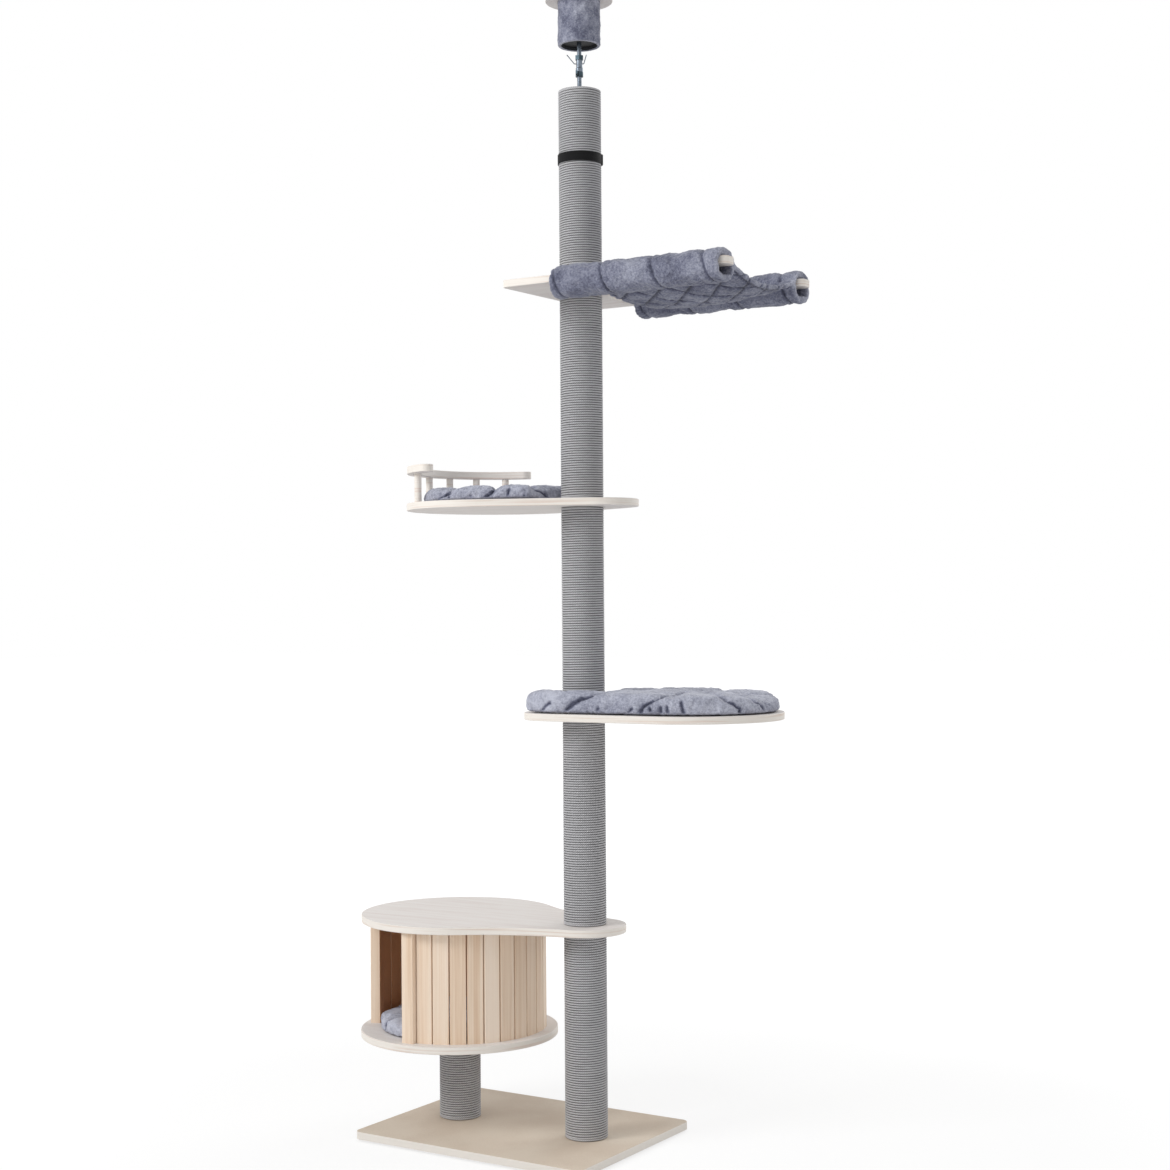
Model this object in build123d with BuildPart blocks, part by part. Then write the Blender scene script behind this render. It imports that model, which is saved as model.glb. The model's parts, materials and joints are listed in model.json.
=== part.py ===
"""Floor-to-ceiling cat tree, in millimetres.

The origin lies on the underside of the base board, on the axis of the tall post. +X runs along the
base's long side, away from the house, +Y points to the back and +Z is up.
"""
import math
import os

from build123d import *

os.makedirs("parts", exist_ok=True)

# Boards
board_t = 16.0
board_edge_r = 1.5
base_length = 570.0
base_width = 440.0
base_reach = 124.0
base_corner_r = 18.0
foot_r = 13.0
foot_h = 5.0
foot_inset = 34.0

# Posts: cardboard tubes wound with rope, a wooden plug in each end
segment_count = 5
segment_len = 428.0
top_segment_len = 415.0
short_post_len = 180.0
short_post_inset = 120.0
tube_r = 40.0
tube_wall = 5.0
rope_d = 5.0
rope_end_gap = 2.0
plug_t = 22.0
insert_wall = 2.5
stud_r = 4.0
bolt_head_r = 8.0
bolt_head_t = 5.0
bolt_hole_clearance = 0.25

# Boards that can be turned about the post while the studs are loose
swivel_gap = 0.3
swivel_clearance = 0.05

# House
house_floor_r = 214.0
house_top_r = 212.0
house_tip_r = 86.0
house_neck_r = 500.0
wall_r = 189.0
slat_t = 10.0
slat_count = 25
slat_gap = 1.0
slat_edge_r = 1.5
entrance_angle = -124.0
entrance_width_angle = 65.0
batten_t = 22.0
batten_w = 28.0
batten_gap = 1.0
batten_proud = 11.0

# Shelves: a large round lobe and a smaller round nose around the post
lobe_r = 193.0
lobe_reach = 226.0
nose_r = 85.0
nose_reach = 40.0
lower_shelf_angle = 27.0
upper_shelf_angle = 178.0

# Guard rail of the upper shelf
rail_r = 176.5
rail_w = 31.0
rail_t = 16.0
rail_height = 63.0
rail_start_angle = -74.0
rail_end_angle = 70.0
dowel_r = 7.5
dowel_ring_r = 171.5
dowel_count = 6
dowel_start_angle = -60.0
dowel_step_angle = 22.0
dowel_seat = 8.0

# Cushions
cushion_h = 40.0
upper_cushion_h = 34.0
upper_cushion_end = 22.0
cushion_inset = 8.0
cushion_nose_inset = 2.0
cushion_post_gap = 13.0
cushion_dowel_gap = 5.0
cushion_top_r = 14.0
cushion_seam_r = 6.0
cushion_crown_r = 8000.0
cushion_corner_r = 18.0
tuft_r = 30.0
tuft_depth = 8.0
tuft_ring_r = 105.0
upper_tuft_ring_r = 90.0
tuft_ring_count = 6
house_cushion_h = 38.0
house_cushion_gap = 5.0

# Hammock
fork_back = 76.0
fork_bar_reach = 30.0
fork_boss_r = 75.0
fork_corner_r = 12.0
arm_reach = 445.0
arm_w = 38.0
arm_y = 165.0
sleeve_start = 47.0
sleeve_len = 389.0
sleeve_w = 74.0
sleeve_h = 68.0
sleeve_corner_r = 30.0
sleeve_pinch = 1.5
sleeve_puffs = 4
sleeve_hole_w = 46.0
sleeve_hole_h = 32.0
sleeve_hole_r = 4.0
sleeve_top_wall = 18.5
sleeve_rest_gap = 0.3
sling_start = 130.0
sling_t = 15.0
sling_back_drop = 14.0
sling_front_lift = 8.0
sling_back_sag = 13.0
sling_front_sag = 26.0
sling_belly = 14.0
sling_bite = 6.0
sling_puffs = 4
sling_pinch = 2.5

# Strap round the top segment
strap_w = 20.0
strap_t = 2.0
strap_drop = 135.0

# Ceiling jack
rod_r = 5.0
rod_len = 330.0
rod_seat = 15.0
rod_running_clearance = 0.05
bush_r = 9.0
bush_flange_r = 14.0
bush_flange_t = 2.0
wing_nut_height = 30.0
wing_hub_r = 8.0
wing_hub_h = 10.0
wing_span = 34.0
wing_t = 3.0
wing_rise = 3.0
wing_angle = 100.0
round_nut_r = 7.5
round_nut_h = 9.0
round_nut_edge_r = 1.5
nut_face_gap = 0.3
spacer_r = 6.5
spacer_h = 16.0
hex_nut_r = 9.2
hex_nut_h = 9.0
pin_r = 1.0
pin_angle = 32.0
pin_rise = 19.0
pin_reach = 26.0
pin_short_reach = 15.0
pin_run_out = 4.0
pin_short_run_out = 3.0
pin_bend_r = 2.5
column_gap = 97.0
column_len = 91.0
column_tube_r = 41.0
column_tube_wall = 3.5
column_plush_t = 4.0
column_plush_overhang = 2.0
cap_t = 6.0
cap_recess = 5.0
top_plug_t = 25.0
plate_r = 71.0
plate_edge_r = 2.0
pad_inset = 5.0
pad_t = 3.0
screw_r = 2.0
screw_head_r = 4.5
screw_head_t = 3.0
screw_len = 30.0
screw_ring_r = 24.0
screw_count = 3

# Places worked out from the sizes above
post_r = tube_r + rope_d
plug_r = tube_r - tube_wall
insert_r = stud_r + insert_wall
base_mid_x = base_reach - base_length / 2
short_post_x = base_reach - base_length + short_post_inset
segment_pitch = segment_len + board_t
segment_feet = [board_t + n * segment_pitch for n in range(segment_count)]
segment_lengths = [segment_len] * (segment_count - 1) + [top_segment_len]
board_levels = [foot - board_t for foot in segment_feet]
house_top_z, lower_shelf_z, upper_shelf_z, fork_z = board_levels[1:]
post_top = segment_feet[-1] + top_segment_len
house_floor_z = board_t + short_post_len
wall_z = house_floor_z + board_t
wall_h = house_top_z - wall_z
turning_board_t = board_t - 2 * swivel_gap
column_z = post_top + column_gap
column_top = column_z + column_len


def ring(low, high, inner_r, outer_r, x=0.0):
    """An upright tube between two heights."""
    with BuildPart() as body:
        with BuildSketch(Plane.XY.offset(low)):
            with Locations((x, 0)):
                Circle(outer_r)
                Circle(inner_r, mode=Mode.SUBTRACT)
        extrude(amount=high - low)
    return body.part


def bolt(head_z, direction, length, x=0.0):
    """A flat-headed bolt whose head face lies at head_z and whose shank runs along direction."""
    with BuildPart() as body:
        with BuildSketch(Plane.XY.offset(head_z)):
            with Locations((x, 0)):
                Circle(bolt_head_r)
        extrude(amount=direction * bolt_head_t)
        with BuildSketch(Plane.XY.offset(head_z)):
            with Locations((x, 0)):
                Circle(stud_r)
        extrude(amount=direction * length)
    return body.part


def shelf_plan(angle, lobe_inset=0.0, nose_inset=0.0):
    """The drop-shaped outline of a shelf, its lobe pointing along angle."""
    with BuildSketch(Plane.XY.rotated((0, 0, angle))) as plan:
        with Locations((lobe_reach, 0)):
            Circle(lobe_r - lobe_inset)
        with Locations((-nose_reach, 0)):
            Circle(nose_r - nose_inset)
        make_hull()
    return plan.sketch


def shelf_board(level, angle):
    """A shelf board with its stud hole, standing just clear of the segments above and below."""
    with BuildPart() as board:
        with BuildSketch():
            add(shelf_plan(angle))
        extrude(amount=turning_board_t)
        fillet(board.edges().filter_by(Plane.XY), board_edge_r)
        Hole(stud_r + swivel_clearance)
    return Pos(0, 0, level + swivel_gap) * board.part


def cushion_outline(lobe_inset, end_x):
    """The cushion of a shelf: the board's plan from end_x on, cut away at the post and one flank of it."""
    notch_r = post_r + cushion_post_gap
    with BuildSketch() as plan:
        add(shelf_plan(0, lobe_inset, cushion_nose_inset))
        Circle(notch_r, mode=Mode.SUBTRACT)
        with Locations((notch_r, 0)):
            Rectangle(4 * nose_r, 2 * nose_r, align=(Align.MAX, Align.MIN), mode=Mode.SUBTRACT)
        with Locations((end_x, 0)):
            Rectangle(4 * nose_r, 4 * nose_r, align=(Align.MAX, Align.CENTER), mode=Mode.SUBTRACT)
        flank_corners = plan.vertices().filter_by(
            lambda v: v.Y > -1 and v.X < notch_r + 1 and abs(v.X - notch_r) + abs(v.Y) > 1
        )
        end_corners = plan.vertices().filter_by(lambda v: abs(v.X - end_x) < 1)
        fillet(flank_corners + end_corners, cushion_corner_r)
    return plan.sketch


def padded(outline, centre_x, height, tufts):
    """A padded solid: round upper edge, sides drawn in to the seam, a crown and sewn tufts."""
    with BuildPart() as body:
        with BuildSketch():
            add(outline)
        extrude(amount=height)
        with Locations((centre_x, 0, height - cushion_crown_r)):
            Sphere(cushion_crown_r, mode=Mode.INTERSECT)
        fillet(body.faces().sort_by(Axis.Z)[-1].outer_wire().edges(), cushion_top_r)
        fillet(body.faces().sort_by(Axis.Z)[0].outer_wire().edges(), cushion_seam_r)
        with Locations(*[(x, y, height + tuft_r - tuft_depth) for x, y in tufts]):
            Sphere(tuft_r, mode=Mode.SUBTRACT)
    return body.part


def ring_points(centre_x, radius, count):
    """One point in the middle and a ring of points round it."""
    ring_of = [
        (centre_x + radius * math.cos(2 * math.pi * n / count), radius * math.sin(2 * math.pi * n / count))
        for n in range(count)
    ]
    return [(centre_x, 0)] + ring_of


def puff(step, steps_per_puff, pinch):
    """How far a quilted surface is drawn in at a loft step: pinched at seams, full between."""
    return pinch * (1 - math.sin(math.pi * (step % steps_per_puff) / steps_per_puff))


# Base board, with a counterbored bolt hole under each post
with BuildPart() as base_board:
    with BuildSketch():
        with Locations((base_mid_x, 0)):
            RectangleRounded(base_length, base_width, base_corner_r)
    extrude(amount=board_t)
    fillet(base_board.edges().group_by(Axis.Z)[-1], board_edge_r)
    upside_down = (180, 0, 0)
    with Locations(Location((0, 0, 0), upside_down), Location((short_post_x, 0, 0), upside_down)):
        CounterBoreHole(stud_r + bolt_hole_clearance, bolt_head_r + bolt_hole_clearance, bolt_head_t)
base_board.part.label = "base_board"
export_step(base_board.part, "parts/base_board.step")

# Four round feet under the corners
with BuildPart() as base_feet:
    with BuildSketch():
        with Locations((base_mid_x, 0)):
            with GridLocations(base_length - 2 * foot_inset, base_width - 2 * foot_inset, 2, 2):
                Circle(foot_r)
    extrude(amount=-foot_h)
base_feet.part.label = "base_feet"
export_step(base_feet.part, "parts/base_feet.step")

# Bolts from below into the bottom plug of each post
with BuildPart() as base_bolts:
    add(bolt(0, 1, board_t + plug_t))
    add(bolt(0, 1, board_t + plug_t, short_post_x))
base_bolts.part.label = "base_bolts"
export_step(base_bolts.part, "parts/base_bolts.step")

# The five stacked segments: a tube and its rope winding each
for number, (foot, length) in enumerate(zip(segment_feet, segment_lengths), start=1):
    with BuildPart() as post_tube:
        add(ring(foot, foot + length, plug_r, tube_r))
    post_tube.part.label = f"post_tube_{number}"
    export_step(post_tube.part, f"parts/post_tube_{number}.step")
    with BuildPart() as rope_wrap:
        add(ring(foot + rope_end_gap, foot + length - rope_end_gap, tube_r, post_r))
    rope_wrap.part.label = f"rope_wrap_{number}"
    export_step(rope_wrap.part, f"parts/rope_wrap_{number}.step")

# Short post under the house
with BuildPart() as short_post_tube:
    add(ring(board_t, house_floor_z, plug_r, tube_r, short_post_x))
short_post_tube.part.label = "short_post_tube"
export_step(short_post_tube.part, "parts/short_post_tube.step")

with BuildPart() as short_rope_wrap:
    add(ring(board_t + rope_end_gap, house_floor_z - rope_end_gap, tube_r, post_r, short_post_x))
short_rope_wrap.part.label = "short_rope_wrap"
export_step(short_rope_wrap.part, "parts/short_rope_wrap.step")

# Wooden plugs in the tube ends, each with a threaded insert; the topmost plug holds the guide bush
plug_feet = [(foot, 0.0) for foot in segment_feet]
plug_feet += [(foot + segment_len - plug_t, 0.0) for foot in segment_feet[:-1]]
plug_feet += [(board_t, short_post_x), (house_floor_z - plug_t, short_post_x)]

with BuildPart() as end_plugs:
    for low, x in plug_feet:
        add(ring(low, low + plug_t, insert_r, plug_r, x))
end_plugs.part.label = "end_plugs"
export_step(end_plugs.part, "parts/end_plugs.step")

with BuildPart() as thread_inserts:
    for low, x in plug_feet:
        add(ring(low, low + plug_t, stud_r, insert_r, x))
thread_inserts.part.label = "thread_inserts"
export_step(thread_inserts.part, "parts/thread_inserts.step")

with BuildPart() as head_plug:
    add(ring(post_top - plug_t, post_top, bush_r, plug_r))
head_plug.part.label = "head_plug"
export_step(head_plug.part, "parts/head_plug.step")

with BuildPart() as guide_bush:
    bore_r = rod_r + rod_running_clearance
    add(ring(post_top - plug_t, post_top, bore_r, bush_r))
    add(ring(post_top, post_top + bush_flange_t, bore_r, bush_flange_r))
guide_bush.part.label = "guide_bush"
export_step(guide_bush.part, "parts/guide_bush.step")

# Studs that join the segments through the boards between them
with BuildPart() as joining_studs:
    for level in board_levels[1:]:
        with BuildSketch(Plane.XY.offset(level - plug_t)):
            Circle(stud_r)
        extrude(amount=board_t + 2 * plug_t)
joining_studs.part.label = "joining_studs"
export_step(joining_studs.part, "parts/joining_studs.step")

# House floor, bolted down into the short post
with BuildPart() as house_floor:
    with BuildSketch(Plane.XY.offset(house_floor_z)):
        with Locations((short_post_x, 0)):
            Circle(house_floor_r)
    extrude(amount=board_t)
    fillet(house_floor.edges().filter_by(GeomType.CIRCLE), board_edge_r)
    with Locations((short_post_x, 0, wall_z)):
        CounterBoreHole(stud_r + bolt_hole_clearance, bolt_head_r + bolt_hole_clearance, bolt_head_t)
house_floor.part.label = "house_floor"
export_step(house_floor.part, "parts/house_floor.step")

with BuildPart() as house_bolt:
    add(bolt(wall_z, -1, board_t + plug_t, short_post_x))
house_bolt.part.label = "house_bolt"
export_step(house_bolt.part, "parts/house_bolt.step")

# Top board of the house: a large disc that narrows in two hollow curves to a round end at the post
neck_run = house_top_r + house_neck_r
tip_run = house_tip_r + house_neck_r
span = -short_post_x
neck_x = (neck_run**2 - tip_run**2 + span**2) / (2 * span)
neck_y = math.sqrt(neck_run**2 - neck_x**2)
disc_touch = Vector(neck_x, neck_y) * (house_top_r / neck_run) + Vector(short_post_x, 0)
tip_touch = Vector(neck_x - span, neck_y) * (house_tip_r / tip_run)

with BuildPart() as house_top:
    with BuildSketch(Plane.XY.offset(house_top_z)):
        with BuildLine():
            RadiusArc(disc_touch, tip_touch, -house_neck_r)
            ThreePointArc(tip_touch, (house_tip_r, 0), (tip_touch.X, -tip_touch.Y))
            RadiusArc((tip_touch.X, -tip_touch.Y), (disc_touch.X, -disc_touch.Y), -house_neck_r)
            ThreePointArc((disc_touch.X, -disc_touch.Y), (short_post_x - house_top_r, 0), disc_touch)
        make_face()
        Circle(stud_r + bolt_hole_clearance, mode=Mode.SUBTRACT)
    extrude(amount=board_t)
    fillet(house_top.faces().sort_by(Axis.Z)[-1].outer_wire().edges(), board_edge_r)
    fillet(house_top.faces().sort_by(Axis.Z)[0].outer_wire().edges(), board_edge_r)
house_top.part.label = "house_top"
export_step(house_top.part, "parts/house_top.step")

# Round wall of upright slats; two thicker battens frame the entrance
batten_angle = math.degrees(batten_w / wall_r)
batten_offset = entrance_width_angle / 2 + batten_angle / 2
gap_angle = math.degrees(batten_gap / wall_r)
slat_span = 360 - entrance_width_angle - 2 * (batten_angle + gap_angle)
slat_pitch = slat_span / slat_count
slat_inner_r = wall_r - slat_t
slat_w = 2 * slat_inner_r * math.tan(math.radians(slat_pitch / 2)) - slat_gap
first_slat = entrance_angle + entrance_width_angle / 2 + batten_angle + gap_angle + slat_pitch / 2

with BuildPart() as house_slats:
    for number in range(slat_count):
        turn = first_slat + number * slat_pitch
        with BuildSketch(Plane((short_post_x, 0, wall_z), x_dir=Vector(1, 0, 0).rotate(Axis.Z, turn))):
            with Locations((wall_r - slat_t / 2, 0)):
                RectangleRounded(slat_t, slat_w, slat_edge_r)
        extrude(amount=wall_h)
house_slats.part.label = "house_slats"
export_step(house_slats.part, "parts/house_slats.step")

for name, turn in (("entrance_batten_right", batten_offset), ("entrance_batten_left", -batten_offset)):
    turned = Vector(1, 0, 0).rotate(Axis.Z, entrance_angle + turn)
    with BuildPart() as batten:
        with BuildSketch(Plane((short_post_x, 0, wall_z), x_dir=turned)):
            with Locations((wall_r + batten_proud - batten_t / 2, 0)):
                RectangleRounded(batten_t, batten_w, slat_edge_r)
        extrude(amount=wall_h)
    batten.part.label = name
    export_step(batten.part, f"parts/{name}.step")

# Cushion on the house floor
with BuildSketch() as house_cushion_plan:
    with Locations((short_post_x, 0)):
        Circle(slat_inner_r - house_cushion_gap)
with BuildPart() as house_cushion:
    house_tufts = ring_points(short_post_x, tuft_ring_r, tuft_ring_count)
    house_pad = padded(house_cushion_plan.sketch, short_post_x, house_cushion_h, house_tufts)
    add(Pos(0, 0, wall_z) * house_pad)
house_cushion.part.label = "house_cushion"
export_step(house_cushion.part, "parts/house_cushion.step")

# Lower shelf and its cushion
with BuildPart() as lower_shelf_board:
    add(shelf_board(lower_shelf_z, lower_shelf_angle))
lower_shelf_board.part.label = "lower_shelf_board"
export_step(lower_shelf_board.part, "parts/lower_shelf_board.step")

lower_tufts = ring_points(lobe_reach, tuft_ring_r, tuft_ring_count)
whole_nose = -nose_reach - nose_r
lower_pad = padded(cushion_outline(cushion_inset, whole_nose), lobe_reach / 2, cushion_h, lower_tufts)

with BuildPart() as lower_cushion:
    add(Pos(0, 0, lower_shelf_z + board_t) * Rot(0, 0, lower_shelf_angle) * lower_pad)
lower_cushion.part.label = "lower_cushion"
export_step(lower_cushion.part, "parts/lower_cushion.step")

# Upper shelf with blind holes for the rail's dowels
rail_z = upper_shelf_z + board_t + rail_height
dowel_angles = [dowel_start_angle + n * dowel_step_angle for n in range(dowel_count)]
dowel_points = [
    Vector(lobe_reach + dowel_ring_r * math.cos(math.radians(a)), dowel_ring_r * math.sin(math.radians(a)))
    for a in dowel_angles
]
upper_plane = Plane.XY.rotated((0, 0, upper_shelf_angle))

with BuildPart() as upper_shelf_board:
    add(shelf_board(upper_shelf_z, upper_shelf_angle))
    upper_face_z = upper_shelf_z + board_t - swivel_gap
    with BuildSketch(upper_plane.offset(upper_face_z - dowel_seat)):
        with Locations(*dowel_points):
            Circle(dowel_r)
    extrude(amount=dowel_seat, mode=Mode.SUBTRACT)
upper_shelf_board.part.label = "upper_shelf_board"
export_step(upper_shelf_board.part, "parts/upper_shelf_board.step")

with BuildPart() as rail_dowels:
    with BuildSketch(upper_plane.offset(upper_face_z - dowel_seat)):
        with Locations(*dowel_points):
            Circle(dowel_r)
    extrude(amount=rail_z + dowel_seat - upper_face_z + dowel_seat)
rail_dowels.part.label = "rail_dowels"
export_step(rail_dowels.part, "parts/rail_dowels.step")

# Curved guard rail with rounded ends
rail_line = CenterArc((lobe_reach, 0), rail_r, rail_start_angle, rail_end_angle - rail_start_angle)

with BuildPart() as guard_rail:
    with BuildSketch(upper_plane.offset(rail_z)):
        SlotArc(rail_line, rail_w)
    extrude(amount=rail_t)
    fillet(guard_rail.edges().group_by(Axis.Z)[-1], board_edge_r)
    fillet(guard_rail.edges().group_by(Axis.Z)[0], board_edge_r)
    with BuildSketch(upper_plane.offset(rail_z)):
        with Locations(*dowel_points):
            Circle(dowel_r)
    extrude(amount=dowel_seat, mode=Mode.SUBTRACT)
guard_rail.part.label = "guard_rail"
export_step(guard_rail.part, "parts/guard_rail.step")

# Cushion of the upper shelf, inside the row of dowels
upper_tufts = ring_points(lobe_reach, upper_tuft_ring_r, tuft_ring_count)
dowel_inset = lobe_r - (dowel_ring_r - dowel_r - cushion_dowel_gap)
upper_outline = cushion_outline(dowel_inset, upper_cushion_end)
upper_pad = padded(upper_outline, lobe_reach / 2, upper_cushion_h, upper_tufts)

with BuildPart() as upper_cushion:
    add(Pos(0, 0, upper_shelf_z + board_t) * Rot(0, 0, upper_shelf_angle) * upper_pad)
upper_cushion.part.label = "upper_cushion"
export_step(upper_cushion.part, "parts/upper_cushion.step")

# Fork-shaped hammock board: a straight bar at the back, a round boss at the post and two arms
fork_half = arm_y + arm_w / 2
fork_low = fork_z + swivel_gap

with BuildPart() as hammock_board:
    with BuildSketch(Plane.XY.offset(fork_low)) as fork:
        with Locations((-fork_back, 0)):
            Rectangle(fork_back + fork_bar_reach, 2 * fork_half, align=(Align.MIN, Align.CENTER))
        Circle(fork_boss_r)
        with Locations((-fork_back, arm_y), (-fork_back, -arm_y)):
            Rectangle(fork_back + arm_reach, arm_w, align=(Align.MIN, Align.CENTER))
        fillet(fork.vertices(), fork_corner_r)
        Circle(stud_r + swivel_clearance, mode=Mode.SUBTRACT)
    extrude(amount=turning_board_t)
    fillet(hammock_board.faces().sort_by(Axis.Z)[-1].outer_wire().edges(), board_edge_r)
    fillet(hammock_board.faces().sort_by(Axis.Z)[0].outer_wire().edges(), board_edge_r)
hammock_board.part.label = "hammock_board"
export_step(hammock_board.part, "parts/hammock_board.step")

# Hammock: a quilted sleeve round each arm and a quilted sling between them
arm_top = fork_low + turning_board_t
hole_top = arm_top + sleeve_rest_gap
sleeve_mid_z = hole_top + sleeve_top_wall - sleeve_h / 2
sling_end = sleeve_start + sleeve_len
sling_half = arm_y - sleeve_hole_w / 2 - sling_bite
steps_per_puff = 4
sleeve_steps = sleeve_puffs * steps_per_puff
sling_steps = sling_puffs * steps_per_puff

with BuildPart() as hammock:
    for side in (-1, 1):
        for step in range(sleeve_steps + 1):
            draw = puff(step, steps_per_puff, sleeve_pinch)
            x = sleeve_start + sleeve_len * step / sleeve_steps
            with BuildSketch(Plane.YZ.offset(x)):
                with Locations((side * arm_y, sleeve_mid_z)):
                    RectangleRounded(sleeve_w - 2 * draw, sleeve_h - 2 * draw, sleeve_corner_r)
        loft()
    for step in range(sling_steps + 1):
        share = step / sling_steps
        half_t = sling_t / 2 - puff(step, steps_per_puff, sling_pinch)
        sag = sling_back_sag + (sling_front_sag - sling_back_sag) * share + sling_belly * math.sin(math.pi * share)
        side_z = sleeve_mid_z - sling_back_drop + (sling_back_drop + sling_front_lift) * share
        high = side_z + half_t
        low = side_z - half_t
        with BuildSketch(Plane.YZ.offset(sling_start + (sling_end - sling_start) * share)):
            with BuildLine():
                top_edge = ThreePointArc((-sling_half, high), (0, high - sag), (sling_half, high))
                low_edge = ThreePointArc((-sling_half, low), (0, low - sag), (sling_half, low))
                Line(top_edge @ 0, low_edge @ 0)
                Line(top_edge @ 1, low_edge @ 1)
            make_face()
    loft()
    with BuildSketch(Plane.YZ.offset(sleeve_start)):
        with Locations((arm_y, hole_top - sleeve_hole_h / 2), (-arm_y, hole_top - sleeve_hole_h / 2)):
            RectangleRounded(sleeve_hole_w, sleeve_hole_h, sleeve_hole_r)
    extrude(amount=sleeve_len, mode=Mode.SUBTRACT)
hammock.part.label = "hammock"
export_step(hammock.part, "parts/hammock.step")

# Webbing strap round the top segment
strap_top = post_top - strap_drop
with BuildPart() as post_strap:
    add(ring(strap_top - strap_w, strap_top, post_r, post_r + strap_t))
post_strap.part.label = "post_strap"
export_step(post_strap.part, "parts/post_strap.step")

# Nuts on the rod, from the lowest up
wing_root_r = wing_hub_r - wing_t / 2
wing_z = post_top + wing_nut_height
round_nut_z = wing_z + wing_hub_h + nut_face_gap
spacer_z = round_nut_z + round_nut_h + nut_face_gap
top_nut_z = spacer_z + spacer_h
pin_z = spacer_z + spacer_h / 2

with BuildPart() as wing_nut:
    with BuildSketch(Plane.XY.offset(wing_z)):
        Circle(wing_hub_r)
    extrude(amount=wing_hub_h)
    with BuildSketch(Plane.XZ.rotated((0, 0, wing_angle)).offset(-wing_t / 2)) as wings:
        for side in (-1, 1):
            with BuildLine():
                Polyline(
                    (side * wing_root_r, wing_z),
                    (side * wing_span / 2, wing_z + wing_rise),
                    (side * wing_span / 2, wing_z + wing_hub_h),
                    (side * wing_root_r, wing_z + wing_hub_h),
                    close=True,
                )
            make_face()
    extrude(amount=wing_t)
    with BuildSketch(Plane.XY.offset(wing_z)):
        Circle(rod_r + rod_running_clearance)
    extrude(amount=wing_hub_h, mode=Mode.SUBTRACT)
wing_nut.part.label = "wing_nut"
export_step(wing_nut.part, "parts/wing_nut.step")

with BuildPart() as round_nut:
    add(ring(round_nut_z, round_nut_z + round_nut_h, rod_r + rod_running_clearance, round_nut_r))
    fillet(round_nut.faces().sort_by(Axis.Z)[-1].outer_wire().edges(), round_nut_edge_r)
round_nut.part.label = "round_nut"
export_step(round_nut.part, "parts/round_nut.step")

with BuildPart() as threaded_rod:
    with BuildSketch(Plane.XY.offset(column_top - top_plug_t + rod_seat - rod_len)):
        Circle(rod_r)
    extrude(amount=rod_len)
    with BuildSketch(Plane.YZ.rotated((0, 0, pin_angle)).offset(-spacer_r)):
        with Locations((0, pin_z)):
            Circle(pin_r)
    extrude(amount=2 * spacer_r, mode=Mode.SUBTRACT)
threaded_rod.part.label = "threaded_rod"
export_step(threaded_rod.part, "parts/threaded_rod.step")

with BuildPart() as rod_spacer:
    add(ring(spacer_z, spacer_z + spacer_h, rod_r, spacer_r))
    with BuildSketch(Plane.YZ.rotated((0, 0, pin_angle)).offset(-spacer_r)):
        with Locations((0, pin_z)):
            Circle(pin_r)
    extrude(amount=2 * spacer_r, mode=Mode.SUBTRACT)
rod_spacer.part.label = "rod_spacer"
export_step(rod_spacer.part, "parts/rod_spacer.step")

# Split pin: a wire through spacer and rod, both ends bent upwards
with BuildPart() as split_pin:
    with BuildLine(Plane.XZ.rotated((0, 0, pin_angle))) as pin_path:
        FilletPolyline(
            (-pin_reach, pin_z + pin_rise),
            (-spacer_r - pin_run_out, pin_z),
            (spacer_r + pin_short_run_out, pin_z),
            (pin_short_reach, pin_z + pin_rise),
            radius=pin_bend_r,
        )
    with BuildSketch(Plane(origin=pin_path.line @ 0, z_dir=pin_path.line % 0)):
        Circle(pin_r)
    sweep()
split_pin.part.label = "split_pin"
export_step(split_pin.part, "parts/split_pin.step")

with BuildPart() as top_nut:
    with BuildSketch(Plane.XY.offset(top_nut_z)):
        RegularPolygon(hex_nut_r, 6)
        Circle(rod_r, mode=Mode.SUBTRACT)
    extrude(amount=hex_nut_h)
top_nut.part.label = "top_nut"
export_step(top_nut.part, "parts/top_nut.step")

# Plush-covered column with a recessed end cap, held on the rod by an inner nut
column_inner_r = column_tube_r - column_tube_wall
with BuildPart() as column_tube:
    add(ring(column_z, column_top, column_inner_r, column_tube_r))
column_tube.part.label = "column_tube"
export_step(column_tube.part, "parts/column_tube.step")

with BuildPart() as column_plush:
    add(ring(column_z - column_plush_overhang, column_top, column_tube_r, column_tube_r + column_plush_t))
    fillet(column_plush.faces().sort_by(Axis.Z)[0].outer_wire().edges(), column_plush_t / 2)
column_plush.part.label = "column_plush"
export_step(column_plush.part, "parts/column_plush.step")

with BuildPart() as column_cap:
    add(ring(column_z + cap_recess, column_z + cap_recess + cap_t, rod_r, column_inner_r))
column_cap.part.label = "column_cap"
export_step(column_cap.part, "parts/column_cap.step")

with BuildPart() as inner_nut:
    with BuildSketch(Plane.XY.offset(column_z + cap_recess + cap_t)):
        RegularPolygon(hex_nut_r, 6)
        Circle(rod_r, mode=Mode.SUBTRACT)
    extrude(amount=hex_nut_h)
inner_nut.part.label = "inner_nut"
export_step(inner_nut.part, "parts/inner_nut.step")

with BuildPart() as top_plug:
    with BuildSketch(Plane.XY.offset(column_top - top_plug_t)):
        Circle(column_inner_r)
    extrude(amount=top_plug_t)
    with BuildSketch(Plane.XY.offset(column_top - top_plug_t)):
        Circle(rod_r)
    extrude(amount=rod_seat, mode=Mode.SUBTRACT)
    with BuildSketch(Plane.XY.offset(column_top)):
        with PolarLocations(screw_ring_r, screw_count):
            Circle(screw_r)
    extrude(amount=-(screw_len - board_t), mode=Mode.SUBTRACT)
top_plug.part.label = "top_plug"
export_step(top_plug.part, "parts/top_plug.step")

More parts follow.
